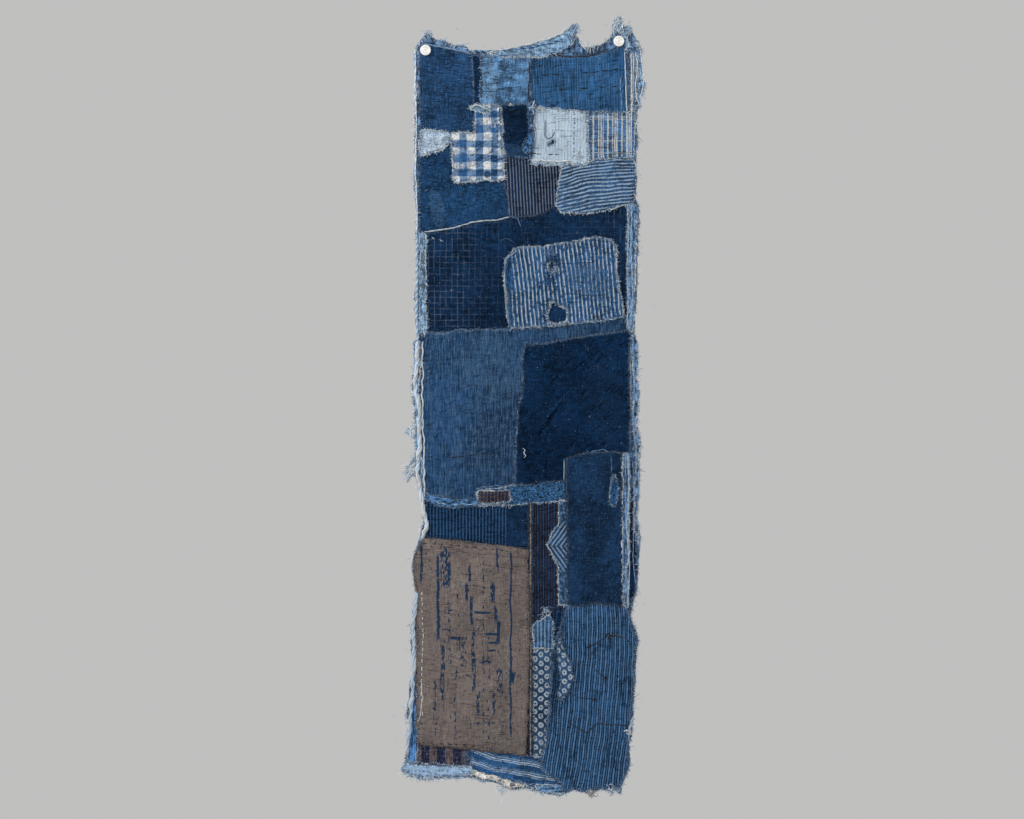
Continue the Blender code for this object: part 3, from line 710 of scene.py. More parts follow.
patches = {
    "patch_navy_slub": cloth(
        "dark_indigo", 1, 0.2, 0.6, frayDark, (33, 61, 94), edge=(2.0, 0.5), weft=1.3, patchy=0.15,
    ),
    "patch_faded_blue": cloth(
        "mid_blue", 2, 1.8, 1.5, {"dyes": [sky, mid, pale, mid]}, (72, 107, 143), edge=(6.0, 0.8),
        patchy=1.3, crumple=3.6, spots=[(-50, -50, 18, 44, 6, (108, 140, 172), 0.7)],
    ),
    "patch_stitched_blue": cloth(
        "mid_blue", 1, 1.2, 1.2, frayBlue, (40, 77, 116), warp=1.4, run=24, weft=0.6, speck=0.6,
        patchy=0.2, edge=(4.0, 0.8), crumple=4.0,
        bars=[bar(3.9, 1.3, (76, 112, 148), centre=1, lean=-1, worn=(0.3, 0.5), strength=0.5)],
    ),
    "strip_top_right": cloth(
        "mid_blue", 0, 1.0, 1.2, frayPale, (84, 116, 150), edge=(5.0, 0.8),
        lines=[(155.5, 2.4), (159.6, 1.7), (162.8, 1.9), (166.6, 2.2), (171, 2.0)],
    ),
    "patch_cream_lined": cloth("mid_blue", 1, 0.8, 0.8, frayPale, (66, 98, 134), weft=1.3),
    "patch_pale_blue": cloth(
        "pale_blue", 2, 1.4, 1.4, frayPale, (179, 195, 209), edge=(3.4, 0.8), rubbed=(96, 132, 170),
        dark=(96, 124, 156), light=(206, 216, 224), contrast=0.6,
        bars=[bar(4.6, 1.7, (130, 158, 188), worn=(0.36, 0.56), strength=0.7)], warp=1.3, weft=0.3,
        pleats=0.03, run=20, patchy=0.1, fade=(0.95, 1.05),
        spots=[(10, -130, 9, 46, 4, (78, 114, 152), 0.9)],
    ),
    "patch_darkest": cloth(
        "dark_indigo", 3, 1.8, 2.0, dict(frayBlue, every=0.8), (16, 36, 60), edge=(4.0, 0.5), crumple=6.0,
        rubbed=mid,
        spots=[(-12, -156, 40, 14, 10, (52, 86, 124), 0.5), (-36, -120, 6, 34, 0, (48, 80, 116), 0.5)],
    ),
    "patch_gingham": cloth(
        "pale_blue", 3, 1.6, 1.4, frayPale, (42, 76, 116), edge=(3.5, 0.8), speck=1.0, crumple=3.4,
    ),
    "patch_pale_left": cloth(
        "pale_blue", 2, 1.4, 1.8, frayPale, (160, 180, 201), cloud=(14, 10), fade=(0.82, 1.1),
        dark=(100, 130, 162), crumple=4.0, pleats=0.1,
    ),
    "patch_indigo": cloth(
        "dark_indigo", 0, 0.6, 0.6, frayBlue, (28, 57, 89), weft=1.4, patchy=0.2,
        spots=[(-128, -240, 36, 14, 80, (62, 92, 126), 0.6)],
    ),
    "patch_pinstripe": cloth(
        "dark_indigo", 1, 0.8, 0.7, frayDark, (18, 35, 60), drift=2.5,
        bars=[bar(4.6, 1.5, (112, 120, 134), lean=-3, worn=(0.2, 0.4), strength=0.95, blur=0.35)],
        weft=0.6, warp=0.8,
    ),
    "patch_ripple": cloth(
        "mid_blue", 2, 2.0, 2.0, frayPale, (46, 78, 114), drift=12,
        bars=[bar(5.3, 2.1, (162, 182, 202), lean=82, bend=(82, -0.0009), worn=(0.26, 0.46))],
        crumple=4.2,
    ),
    "patch_checked": cloth(
        "dark_indigo", 0, 0.5, 0.5, frayDark, (16, 39, 66), drift=4,
        bars=[
            bar(8.7, 1.1, (84, 96, 118), centre=-140, worn=(0.42, 0.62), strength=0.3),
            bar(8.7, 1.1, (80, 94, 116), lean=90, worn=(0.42, 0.62), strength=0.3),
            bar(
                8.7, 1.2, (104, 114, 132), centre=-140, reach=(-150, -96), melt=50, worn=(0.4, 0.6),
                strength=0.45,
            ),
            bar(
                8.7, 1.2, (98, 110, 130), lean=90, reach=(-150, -96), melt=50, worn=(0.4, 0.6),
                strength=0.45,
            ),
            bar(8.7, 1.2, (96, 108, 128), centre=-140, reach=(134, 160), worn=(0.4, 0.6), strength=0.5),
        ],
    ),
    "strip_left_pale": cloth(
        "pale_blue", 2, 0.8, 1.3, frayPale, (112, 142, 172), cloud=(5, 16), fade=(0.74, 1.24),
        crumple=4.0,
    ),
    "patch_blue_white": cloth(
        "pale_blue", 3, 1.8, 1.5, frayPale, (40, 72, 108), drift=7, edge=(5.0, 0.8), crumple=4.6,
        speck=1.6,
        bars=[
            bar(
                6.1, 2.0, (186, 198, 208), lean=-6, centre=1, reach=(-17, 200), grain=(2.0, 6), blur=0.4,
                worn=(0.36, 0.5), strength=0.95,
            ),
            bar(
                6.1, 0.9, (22, 46, 76), lean=-6, centre=3.4, reach=(-17, 200), grain=(2.0, 8),
                strength=0.8,
            ),
        ],
        spots=[
            (44, -330, 14, 40, 6, (26, 54, 88), 0.9), (52, -398, 26, 22, 0, (24, 50, 82), 0.8),
            (-22, -350, 5, 84, 4, (18, 40, 68), 1.0), (100, -350, 46, 34, 30, (58, 90, 126), 0.6),
        ],
    ),
    "strip_right_pale": cloth(
        "pale_blue", 2, 0.8, 1.4, frayPale, (88, 118, 150), cloud=(4, 18), fade=(0.6, 1.4), crumple=4.0,
    ),
    "patch_worn_blue": cloth(
        "mid_blue", 1, 1.4, 1.2, frayBlue, (33, 65, 101), warp=1.6, speck=0.3, run=14, pleats=0.15,
        weft=0.5, light=(80, 108, 138), cloud=(90, 120), edge=(4.0, 0.8),
        bars=[bar(4.4, 1.3, (76, 96, 122), worn=(0.36, 0.6), strength=0.55)],
        spots=[(-40, -480, 60, 70, -30, (66, 96, 128), 0.35), (60, -425, 90, 9, 80, (58, 90, 126), 0.6)],
    ),
    "patch_dark_navy": cloth(
        "dark_indigo", 2, 1.8, 1.1, frayBlue, (13, 36, 63), crumple=4.5, lean=42, lint=0.25,
        cloud=(90, 90), edge=(3.0, 0.6), pleats=0.6,
        spots=[
            # the long thin dark spot is painted shade along the diagonal crease, the thin pale one beside
            # it a painted highlight on its lit side
            (128, -530, 46, 90, 0, (26, 52, 82), 0.4), (46, -548, 62, 3.4, -57, (5, 16, 34), 1.0),
            (36, -633, 2.6, 18, 0, (5, 16, 34), 1.0), (58, -528, 44, 2.4, -50, (28, 54, 86), 0.7),
        ],
    ),
    "strip_right_upper": cloth(
        "mid_blue", 0, 0.8, 1.3, frayPale, (56, 88, 124), cloud=(4, 24), fade=(0.6, 1.4), crumple=4.0,
    ),
    "patch_slate": cloth(
        "dark_indigo", 3, 1.2, 0.9, frayDark, (24, 47, 75), lean=62, edge=(2.5, 0.6), pleats=0.5,
    ),
    "strip_right_light": cloth(
        "pale_blue", 3, 0.8, 1.4, frayPale, (72, 104, 140), cloud=(4, 30), fade=(0.5, 1.4),
        bars=[bar(4.4, 1.6, (160, 178, 198), centre=155, worn=(0.4, 0.6))],
    ),
    "flap_navy": cloth("dark_indigo", 1, 0.8, 1.8, dict(frayBlue, every=0.8), (16, 35, 60), crumple=4.5),
    "band_speckled": cloth(
        "brown_weave", 1, 1.4, 1.8, frayPale, (42, 72, 104), cloud=(2.4, 2.0), fade=(0.4, 1.6), speck=2.4,
        crumple=4.5, lint=0.9,
    ),
    "patch_fine_stripe": cloth(
        "mid_blue", 0, 0.6, 0.5, frayDark, (19, 41, 67), drift=2,
        bars=[
            bar(4.9, 1.5, (58, 94, 134), worn=(0.22, 0.42), reach=(-200, -24), strength=0.85),
            bar(4.9, 1.2, (10, 26, 48), centre=2.45, reach=(-200, -24), strength=0.7),
            bar(7.0, 1.0, (40, 70, 102), worn=(0.4, 0.6), reach=(-24, 20), strength=0.4),
        ],
    ),
    "strip_selvedge": cloth("brown_weave", 2, 0.3, 0.4, frayDark, (26, 41, 63), edge=(1.5, 0.4)),
    "patch_brown_stripe": cloth(
        "brown_weave", 0, 0.6, 0.5, frayDark, (22, 34, 56), drift=2,
        bars=[
            bar(8.1, 2.6, (54, 48, 58), centre=20, worn=(0.2, 0.42)),
            bar(8.1, 1.1, (56, 84, 120), centre=24, worn=(0.3, 0.5)),
        ],
    ),
    "patch_slant_stripe": cloth("mid_blue", 1, 1.2, 1.2, frayPale, (34, 63, 96), crumple=4.0),
    "patch_grey_brown": cloth(
        "brown_weave", 3, 1.8, 1.2, frayBrown, (112, 103, 100), fade=(0.95, 1.05), run=12,
        dark=(78, 70, 69), light=(140, 131, 126), rubbed=(70, 64, 70), edge=(2.0, 0.6), lint=0.1,
        pleats=0.1,
    ),
    "strip_left_low": cloth(
        "mid_blue", 2, 0.8, 1.4, frayPale, (62, 98, 142), cloud=(5, 30), fade=(0.6, 1.5), crumple=4.0,
    ),
    "patch_light_stripe": cloth(
        "pale_blue", 2, 1.0, 1.2, frayPale, (44, 76, 112), crumple=4.0,
        bars=[bar(5.4, 2.3, (128, 156, 184), centre=18, worn=(0.25, 0.45))],
    ),
    "patch_ring_dots": cloth("mid_blue", 1, 0.8, 0.9, frayPale, (44, 68, 96), warp=0.7, weft=0.7),
    # painted shade: the dark tone and dim stripes stand for the shadow of the fold this strip lies in; the
    # stripes themselves are the cloth's own
    "fold_dark": cloth(
        "dark_indigo", 0, 1.5, 0.6, frayDark, (17, 37, 63),
        bars=[bar(7.4, 2.6, (40, 68, 102), lean=10, worn=(0.3, 0.5))],
    ),
    "patch_big_stripe": cloth(
        "mid_blue", 2, 1.4, 1.5, frayBlue, (31, 60, 93), edge=(4.0, 0.8), crumple=4.4, pleats=0.5,
        lean=84, speck=0.4, patchy=0.2,
    ),
    "band_plaid": cloth(
        "brown_weave", 1, 0.8, 0.7, frayDark, (84, 74, 77), drift=2, edge=(1.5, 0.5), warp=1.2, speck=0.3,
        lint=0.1,
        bars=[
            bar(5.8, 1.4, (116, 102, 98), worn=(0.3, 0.5), strength=0.5),
            bar(5.8, 1.2, (66, 78, 102), centre=2.9, worn=(0.3, 0.5), strength=0.6),
            bar(23.5, 12.4, (14, 34, 64), centre=-144.5, worn=(0.0, 0.1), strength=1.0),
            bar(90, 9, (60, 94, 130), centre=-82, worn=(0.3, 0.5), strength=0.9),
        ],
    ),
    "patch_streaked": cloth(
        "mid_blue", 0, 1.0, 1.5, frayPale, (42, 78, 118), drift=12,
        bars=[
            bar(16, 1.6, (188, 204, 220), lean=101, bend=(206, 0.0009), centre=12.5, worn=(0.2, 0.36)),
            bar(16, 1.3, (170, 190, 212), lean=101, bend=(206, 0.0009), centre=15.2, worn=(0.3, 0.5)),
            bar(16, 1.2, (156, 180, 206), lean=101, bend=(206, 0.0009), centre=9.6, worn=(0.3, 0.5)),
            bar(16, 0.9, (116, 146, 178), lean=101, bend=(206, 0.0009), centre=7.4, worn=(0.4, 0.6)),
        ],
        crumple=3.6,
    ),
    "patch_pale_bottom": cloth(
        "pale_blue", 1, 1.2, 1.8, frayPale, (150, 180, 214), cloud=(12, 6), fade=(0.9, 1.06),
        dark=(104, 140, 180), contrast=0.6, crumple=3.4, edge=(1.5, 0.4), pleats=0.1,
    ),
    "scrap_cream": cloth(
        "cream_cotton", 1, 1.2, 2.0,
        {"dyes": [(244, 240, 232), (234, 226, 214), white], "every": 2.2, "length": (0.8, 3)},
        (246, 241, 232), light=(248, 245, 238), dark=(196, 188, 174), cloud=(8, 6),
        rubbed=(216, 209, 198), pleats=0.1,
        spots=[(-14, -1105, 5, 7, 0, (30, 58, 96), 1.0), (-34, -1098, 4, 3, 30, (24, 46, 78), 1.0)],
    ),
}

# torn bits and slivers that lie on the patches and along the rims, with outlines of their own
scraps = {
    "frayed_lens": torn(
        "pale_blue", 2.2, 1.8, dict(frayPale, every=0.7), (114, 144, 175),
        [
            (-52, -9), (-20, -2), (12, 5), (40, 12), (60, 20), (72, 32), (81, 38), (85, 28), (80, 14),
            (72, 2), (52, -10), (28, -14), (0, -13), (-30, -15),
        ],
        crumple=4.5, cloud=(9, 6), fade=(0.74, 1.22),
    ),
    "small_flap": torn(
        "pale_blue", 3.4, 1.2, dict(frayPale, every=0.7), (112, 142, 172),
        [(-78, -88), (-68, -84), (-54, -88), (-48, -94), (-58, -99), (-72, -97)],
    ),
    "tab_tip": torn(
        "pale_blue", 1.6, 1.8, dict(frayPale, every=0.9, length=(1, 5)), (116, 144, 174),
        [
            (137, 26), (138, 40), (145, 47), (150, 38), (154, 30), (161, 34), (164, 24), (158, 14),
            (164, 2), (158, -6), (148, 22),
        ],
        crumple=5, fade=(0.6, 1.4), cloud=(5, 5),
    ),
    "plaid_scrap": torn(
        "brown_weave", 3.2, 1.2, frayPale, (50, 46, 54),
        [(-66, -664), (-42, -665), (-19, -663), (-17, -680), (-40, -682), (-65, -683)],
        bars=[bar(5.2, 1.6, (96, 86, 88), worn=(0.3, 0.5)), bar(5.2, 1.4, (26, 44, 74), lean=90)],
    ),
    "hem_strip": torn(
        "mid_blue", 2.6, 1.4, frayBlue, (58, 90, 124),
        [
            (-147, -666), (-120, -673), (-100, -677), (-68, -676), (-66, -685), (-100, -689),
            (-132, -685), (-148, -676),
        ],
        crumple=4, cloud=(8, 4), fade=(0.5, 1.5),
    ),
    "worn_side": torn(
        "mid_blue", 3.7, 1.8, dict(frayBlue, every=0.9, length=(1, 3.5)), (54, 88, 124),
        [
            (10, -86), (17, -80), (20, -92), (16, -115), (19, -138), (14, -157), (2, -158), (0, -147),
            (9, -134), (11, -108),
        ],
        crumple=5, cloud=(3, 5), fade=(0.35, 1.5),
    ),
    "slate_tear": torn(
        "dark_indigo", 3.7, 1.6, {"dyes": [mid, sky, pale, navy], "every": 0.6}, (34, 61, 94),
        [(134, -641), (139, -638), (144, -660), (141, -687), (133, -687), (130, -668)], crumple=5,
        cloud=(3, 8), fade=(0.4, 1.5),
    ),
    "under_tear": torn(
        "dark_indigo", 1.6, 0.8, frayDark, (19, 42, 70),
        [(30, -312), (58, -312), (76, -378), (76, -416), (32, -419), (28, -380)],
    ),
    "ring_sliver": torn(
        "mid_blue", 4.2, 1.0, frayBlue, (48, 74, 104),
        [
            (57, -884), (64, -900), (74, -926), (77, -945), (69, -966), (58, -980), (53, -970),
            (60, -948), (55, -925), (52, -902),
        ],
    ),
    "dark_strip": torn(
        "dark_indigo", 2.0, 0.8, frayBlue, (17, 38, 65),
        [(-74, -12), (-63, -13), (-60, -50), (-62, -84), (-72, -88), (-73, -50)],
    ),
    "left_rim_fold": torn(
        "pale_blue", 1.6, 1.4, dict(frayPale, every=0.7), (108, 138, 168),
        [
            (-156, -436), (-151, -470), (-155, -510), (-150, -560), (-153, -600), (-148, -640),
            (-146, -670), (-150, -668), (-156, -640), (-160, -600), (-159, -560), (-164, -512),
            (-161, -480), (-162, -440),
        ],
        crumple=5, cloud=(4, 10), fade=(0.5, 1.5),
    ),
    "right_rim_fold": torn(
        "pale_blue", 1.6, 1.6, dict(frayPale, every=0.7), (84, 114, 148),
        [
            (170, -430), (173, -470), (174, -540), (171, -570), (178, -594), (176, -640), (172, -700),
            (176, -742), (172, -742), (168, -700), (170, -640), (170, -598), (165, -560), (168, -520),
            (166, -470), (163, -432),
        ],
        crumple=5, cloud=(4, 10), fade=(0.4, 1.5),
    ),
    "right_top_fold": torn(
        "pale_blue", 1.4, 1.8, dict(frayPale, every=0.9, length=(1, 4)), (112, 142, 172),
        [
            (171, 10), (180, -8), (177, -19), (181, -33), (179, -48), (184, -55), (180, -70), (177, -76),
            (179, -86), (175, -90), (173, -70), (175, -40), (173, -10),
        ],
        crumple=5, cloud=(5, 9), fade=(0.6, 1.4),
    ),
    "bottom_rim_fold": torn(
        "mid_blue", 1.4, 2.0, dict(frayPale, every=0.9, length=(1, 5)), (84, 116, 150),
        [
            (20, -1106), (60, -1104), (90, -1106), (130, -1101), (150, -1098), (150, -1112), (135, -1114),
            (118, -1111), (97, -1117), (78, -1111), (60, -1119), (30, -1116),
        ],
        crumple=5, cloud=(8, 4), fade=(0.5, 1.4),
    ),
}

# the cloths that need more than stripes


def gingham(name, look, seed):
    paint = Paint(name)
    x, z = drifted(paint, dict(look, drift=9), seed)
    blue = ground(paint, look, seed)
    columns = paint.bars(x, -99.2, 23.2, 12.4, 0.9)
    rows = paint.bars(z, -111.8, 21.6, 10.6, 0.9)
    low = paint.spot(-98, -176, 34, 40) + paint.spot(-40, -150, 14, 60)
    worn = paint.soft(paint.noise(7, 7, seed + 12, 4) + low * 0.09, 0.54, 0.68)
    half = paint.blend(worn * 0.85, dye(124, 148, 176), dye(64, 98, 138))
    colour = paint.blend(paint.maths("MAXIMUM", columns, rows), blue, half)
    colour = paint.blend(columns * rows * (1 - worn * 0.5), colour, dye(230, 231, 228))
    colour = paint.blend(paint.spot(-52, -190, 7, 7) * 0.9, colour, dye(18, 38, 66))
    side = paint.soft(paint.x, -100, -108) * paint.soft(paint.z, -148, -156)
    colour = paint.blend(side * 0.85, colour, dye(38, 70, 108))
    return weave(paint, colour, look, seed)


def creamLined(name, look, seed):
    paint = Paint(name)
    x, z = drifted(paint, dict(look, drift=3), seed)
    colour = ground(paint, look, seed)
    upright = look["lines"] or [
        (99.8, 1.8), (106.9, 2.3), (114.8, 1.7), (118.4, 1.6), (121.4, 1.6), (128.6, 2.3), (135.8, 1.6),
        (139.4, 1.8), (142.4, 2.0), (150, 2.0), (157.5, 2.4), (161, 2.0), (164, 1.8), (169.3, 2.0),
    ]
    worn = paint.soft(paint.noise(2, 16, seed + 12), 0.2, 0.42)
    for where, width in upright:
        colour = paint.blend(paint.line(x, where, width) * worn * 0.95, colour, dye(206, 204, 196))
    for where, width in ((-104, 1.3), (-107.5, 1.3), (-139.8, 1.8), (-158, 1.3)):
        colour = paint.blend(paint.line(z, where, width) * worn * 0.6, colour, dye(196, 200, 198))
    return weave(paint, colour, look, seed)


def greyBrown(name, look, seed):
    paint = Paint(name)
    colour = ground(paint, look, seed)
    # strokes where the brown has worn off: x, top, bottom, width, how whole
    upright = [
        (-151, -745, -799, 2.2, 0.9), (-125.3, -760, -886, 2.6, 0.85), (-115, -748, -808, 9, 0.5),
        (-110, -770, -806, 3, 0.8), (-119, -888, -978, 4, 0.5), (-77.5, -775, -800, 2.2, 0.8),
        (-82, -802, -828, 3, 0.75), (-75.6, -822, -864, 2.6, 0.8), (-73.5, -868, -932, 2.8, 0.55),
        (-43.5, -802, -830, 5, 0.65), (-37.5, -748, -784, 2.4, 0.6), (-40, -836, -862, 3, 0.7),
        (-36, -858, -892, 3.2, 0.8), (-72, -906, -962, 3, 0.6), (-65, -964, -1000, 3, 0.6),
        (-88, -880, -928, 7, 0.36), (-33, -930, -972, 6, 0.38), (-42, -968, -1000, 2.6, 0.6),
        (-14, -934, -952, 4, 0.8), (-130, -945, -1034, 2.4, 0.4), (-100, -930, -1030, 2.2, 0.35),
        (-58, -760, -1030, 2.0, 0.26), (-96, -760, -900, 2.0, 0.22), (-17, -756, -1032, 1.9, 0.95),
        (-50, -880, -1040, 2.2, 0.3), (-28, -990, -1040, 2.2, 0.3), (-109, -830, -930, 2.4, 0.34),
    ]
    level = [
        (-72, -47, -846, 2.6, 0.85), (-55, -36, -879, 2.6, 0.75), (-53, -36, -891, 2.2, 0.7),
        (-113, -100, -843, 1.8, 0.5), (-108, -92, -884.5, 3, 0.8), (-70, -58, -857, 2.4, 0.6),
        (-53, -38, -903, 2.4, 0.6), (-63, -46, -920, 3.4, 0.7), (-76, -38, -1011, 1.8, 0.4),
        (-122, -98, -872, 1.8, 0.4), (-60, -26, -964, 2, 0.4), (-104, -80, -940, 2, 0.4),
    ]
    ragged = (paint.noise(2.2, 2.6, seed + 17, 3) - 0.5) * 3.4
    x = paint.x + (paint.noise(30, 40, seed + 16) - 0.5) * 7 + ragged
    z = paint.z + (paint.noise(30, 24, seed + 18) - 0.5) * 4 + ragged
    upper = paint.noise(2.8, 7, seed + 12, 3)
    flat = paint.noise(7, 2.8, seed + 13, 3)
    thin = paint.soft(paint.noise(18, 34, seed + 21), 0.42, 0.55)
    ticks = paint.soft(paint.noise(2.2, 4.2, seed + 20, 2), 0.645, 0.675)
    mask = paint.maths("MAXIMUM", paint.soft(upper, 0.67, 0.7), ticks * thin)
    for middle, top, bottom, width, whole in upright:
        ends = paint.line(z, (top + bottom) / 2, top - bottom, 4)
        stroke = paint.line(x, middle, width * 1.5, 0.5) * ends
        start = 0.64 - whole * 0.36
        mask = paint.maths("MAXIMUM", mask, stroke * paint.soft(upper, start, start + 0.05))
    for start, end, middle, width, whole in level:
        stroke = paint.line(z, middle, width * 1.4, 0.5) * paint.line(x, (start + end) / 2, end - start, 4)
        start = 0.64 - whole * 0.36
        mask = paint.maths("MAXIMUM", mask, stroke * paint.soft(flat, start, start + 0.05))
    fine = paint.noise(1.6, 3.4, seed + 14, 2)
    colour = paint.blend(paint.soft(fine, 0.66, 0.72) * 0.6, colour, dye(62, 62, 76))
    colour = weave(paint, colour, look, seed, True)
    ply = paint.noise(1.2, 3, seed + 19, 2)
    inky = paint.blend(ply, dye(8, 34, 60), dye(22, 60, 94))
    return paint.finish(paint.blend(mask * 0.94, colour, inky))


def ringDots(name, look, seed):
    # small open circles in staggered rows
    paint = Paint(name)
    colour = ground(paint, look, seed)
    pitchX, pitchZ = 17.1, 6.6
    x = paint.x - 20 + (paint.noise(24, 30, seed + 15) - 0.5) * 5
    z = paint.z + 900 + (paint.noise(30, 24, seed + 16) - 0.5) * 5
    odd = paint.maths("FLOORED_MODULO", paint.maths("FLOOR", z / pitchZ), 2.0)
    v = (paint.maths("FRACT", z / pitchZ) - 0.5) * pitchZ
    # a ring reaches past its own row, so its neighbours above and below are drawn too
    for step in (-1, 0, 1):
        u = (paint.maths("FRACT", x / pitchX + odd * 0.5 + 0.5 * (step % 2)) - 0.5) * pitchX
        near = v + step * pitchZ
        away = paint.maths("SQRT", u * u + near * near * 0.86)
        away = away + (paint.noise(3, 3, seed + 17) - 0.5) * 2.0
        ring = paint.soft(away, 4.2, 3.3) * paint.soft(away, 0.8, 1.7)
        colour = paint.blend(ring * 0.92, colour, dye(166, 178, 190))
    return weave(paint, colour, look, seed)


def slantStripe(name, look, seed):
    paint = Paint(name)
    x, z = drifted(paint, dict(look, drift=5), seed)
    colour = ground(paint, look, seed)
    for lean, start, end in ((35, -750, -744), (-35, -744, -750)):
        turn = math.radians(lean)
        across = x * math.cos(turn) - z * math.sin(turn)
        mask = paint.bars(across, 0, 5.6, 2.2) * paint.soft(paint.z, start, end)
        mask = mask * paint.soft(paint.z, -705, -716) * paint.soft(paint.z, -790, -780)
        colour = paint.blend(mask * 0.85, colour, dye(140, 164, 188))
    cloud = paint.soft(paint.noise(4, 5, seed + 12, 3), 0.45, 0.6)
    ends = paint.maths("MAXIMUM", paint.soft(paint.z, -716, -700), paint.soft(paint.z, -780, -795))
    colour = paint.blend(ends * cloud * 0.8, colour, dye(104, 134, 166))
    return weave(paint, colour, look, seed)


def bigStripe(name, look, seed):
    # stripes that fan a little and lean to the left below; painted shade darkens them where the cloth
    # folds under at the left
    paint = Paint(name)
    x, z = drifted(paint, dict(look, drift=8), seed)
    colour = ground(paint, look, seed)
    down = (z + 840) * -1
    across = (x - 118) * (1 - down * 0.0003) + down * down * 0.00035 - down * 0.02
    worn = paint.soft(paint.noise(2.4, 22, seed + 12), 0.22, 0.46)
    colour = paint.blend(paint.bars(across, 0, 6.8, 1.7, 0.4) * worn, colour, dye(92, 128, 166))
    colour = paint.blend(paint.bars(across, 3.4, 6.8, 1.1, 0.4) * worn * 0.85, colour, dye(72, 108, 146))
    colour = paint.blend(paint.bars(across, 1.7, 3.4, 0.9, 0.4) * 0.8, colour, dye(12, 30, 56))
    # painted shade of the fold at the left
    under = paint.spot(50, -925, 16, 110, 5)
    colour = paint.blend(under * 0.75, colour, dye(10, 24, 44))
    return weave(paint, colour, look, seed)


def selvedge(name, look, seed):
    paint = Paint(name)
    x, z = drifted(paint, dict(look, drift=2), seed)
    colour = ground(paint, look, seed)
    colour = paint.blend(paint.line(x, 8.2, 2.2, 0.4) * 0.9, colour, dye(12, 20, 38))
    worn = paint.soft(paint.noise(2, 7, seed + 12), 0.3, 0.45)
    colour = paint.blend(paint.line(x, 12.9, 2.0, 0.4) * worn * 0.95, colour, dye(160, 152, 140))
    return weave(paint, colour, look, seed)


special = {
    "patch_gingham": gingham, "patch_cream_lined": creamLined, "patch_grey_brown": greyBrown,
    "patch_ring_dots": ringDots, "patch_slant_stripe": slantStripe, "patch_big_stripe": bigStripe,
    "strip_selvedge": selvedge, "ring_sliver": ringDots, "strip_top_right": creamLined,
}

def place(made, slotName, nodes=()):
    if nodes:
        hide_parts(*nodes)
    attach(made, "root")


def declareSheet(rim):
    # the flat cut is the smallest rectangle that holds the outline, turned to suit it
    best = None
    for turn in np.radians(np.arange(0, 90, 5)):
        u = rim[:, 0] * np.cos(turn) + rim[:, 1] * np.sin(turn)
        v = rim[:, 1] * np.cos(turn) - rim[:, 0] * np.sin(turn)
        flat = (float(np.ptp(u)) * mm, float(np.ptp(v)) * mm)
        if best is None or flat[0] * flat[1] < best[0] * best[1]:
            best = flat
    size = float(area(rim)) * mm * mm


# backing

backingLook = {
    **usual, "tone": (84, 114, 148), "fade": (0.55, 1.4), "cloud": (7, 16), "edge": (4.0, 0.8),
    "crumple": 4.0, "contrast": 0.5, "speck": 0.4, "lint": 0.08,
}


def backing(name, look, seed):
    # the face is pale where it shows; behind, three darker widths are joined
    paint = Paint(name)
    colour = ground(paint, look, seed)
    behind = paint.node("ShaderNodeNewGeometry", {}, {})
    turned = paint.node("ShaderNodeSeparateXYZ", {}, {0: Wire(paint, behind.outputs["Normal"])})
    back = paint.soft(Wire(paint, turned.outputs[1]), 0.1, 0.4)
    fade = paint.soft(paint.noise(70, 110, seed + 20, 4), 0.35, 0.65)
    plain = paint.blend(fade, dye(30, 54, 84), dye(54, 84, 118))
    # the lowest width has a faint stripe
    wander = (paint.noise(20, 60, seed + 21) - 0.5) * 4
    level = paint.z + paint.x * 0.03 + wander
    lower = paint.soft(level, -402, -404)
    plain = paint.blend(lower, plain, paint.blend(fade, dye(24, 44, 72), dye(40, 66, 98)))
    plain = paint.blend(paint.bars(paint.x + wander, 0, 8.5, 1.8) * lower * 0.55, plain, dye(74, 102, 134))
    side = paint.soft(paint.x + wander, 52, 54) * (1 - lower)
    plain = paint.blend(side * 0.8, plain, paint.blend(fade, dye(52, 80, 114), dye(78, 108, 142)))
    joins = paint.maths("MAXIMUM", paint.line(level, -403, 2.4, 0.8),
                        paint.line(paint.x + wander, 53, 2.0, 0.8) * (1 - lower))
    plain = paint.blend(joins * 0.85, plain, dye(14, 28, 50))
    colour = paint.blend(back, colour, plain)
    return weave(paint, colour, look, seed)


backingCut = {"thick": 1.0, "pitch": 5.0, "rimStep": 2.6, "grow": 0.2, "ragged": 1.3}
backingRim = wornRim(
    rimOf("backing_cloth"), backingCut["rimStep"], backingCut["grow"], backingCut["ragged"], 3
)
backingCloth = makeSheet(
    "backing", backingRim, 0.0, backingCut["thick"], backingCut["pitch"],
    backing("backing cotton", backingLook, 2), seed=1,
)
place(backingCloth, "backing_cotton", ["backing_cloth"])
declareSheet(backingRim)
print("backing made")

# patches

tears = {
    "patch_blue_white": [
        evenly([(44, -381), (54, -386), (67, -393), (68, -404), (66, -411), (52, -414), (41, -413),
                (38, -402), (41, -392)], 1.8),
        evenly([(38, -325), (46, -322), (51, -330), (47, -338), (40, -334)], 1.6),
    ],
    "patch_pale_blue": [
        evenly([(48, -137), (50, -141), (48, -146), (39, -147), (40, -143), (44, -139)], 1.6),
    ],
}
patchLift, patchRim, patchFray = {}, {}, [Threads() for n in range(3)]
# height off the backing: the lowest cloth, each level, each next cloth
lowest, layerStep, apart = 1.0, 0.85, 0.02
zoneHeight = 380  # the fray is gathered into three meshes, one below the other
patchCut = {"thick": 0.7, "pitch": 3.6, "rimStep": 2.2, "rough": 0.3, "seeds": (10, 100, 0)}
scrapCut = {"thick": 0.6, "pitch": 2.6, "rimStep": 1.8, "rough": 0.9, "seeds": (200, 400, 60)}


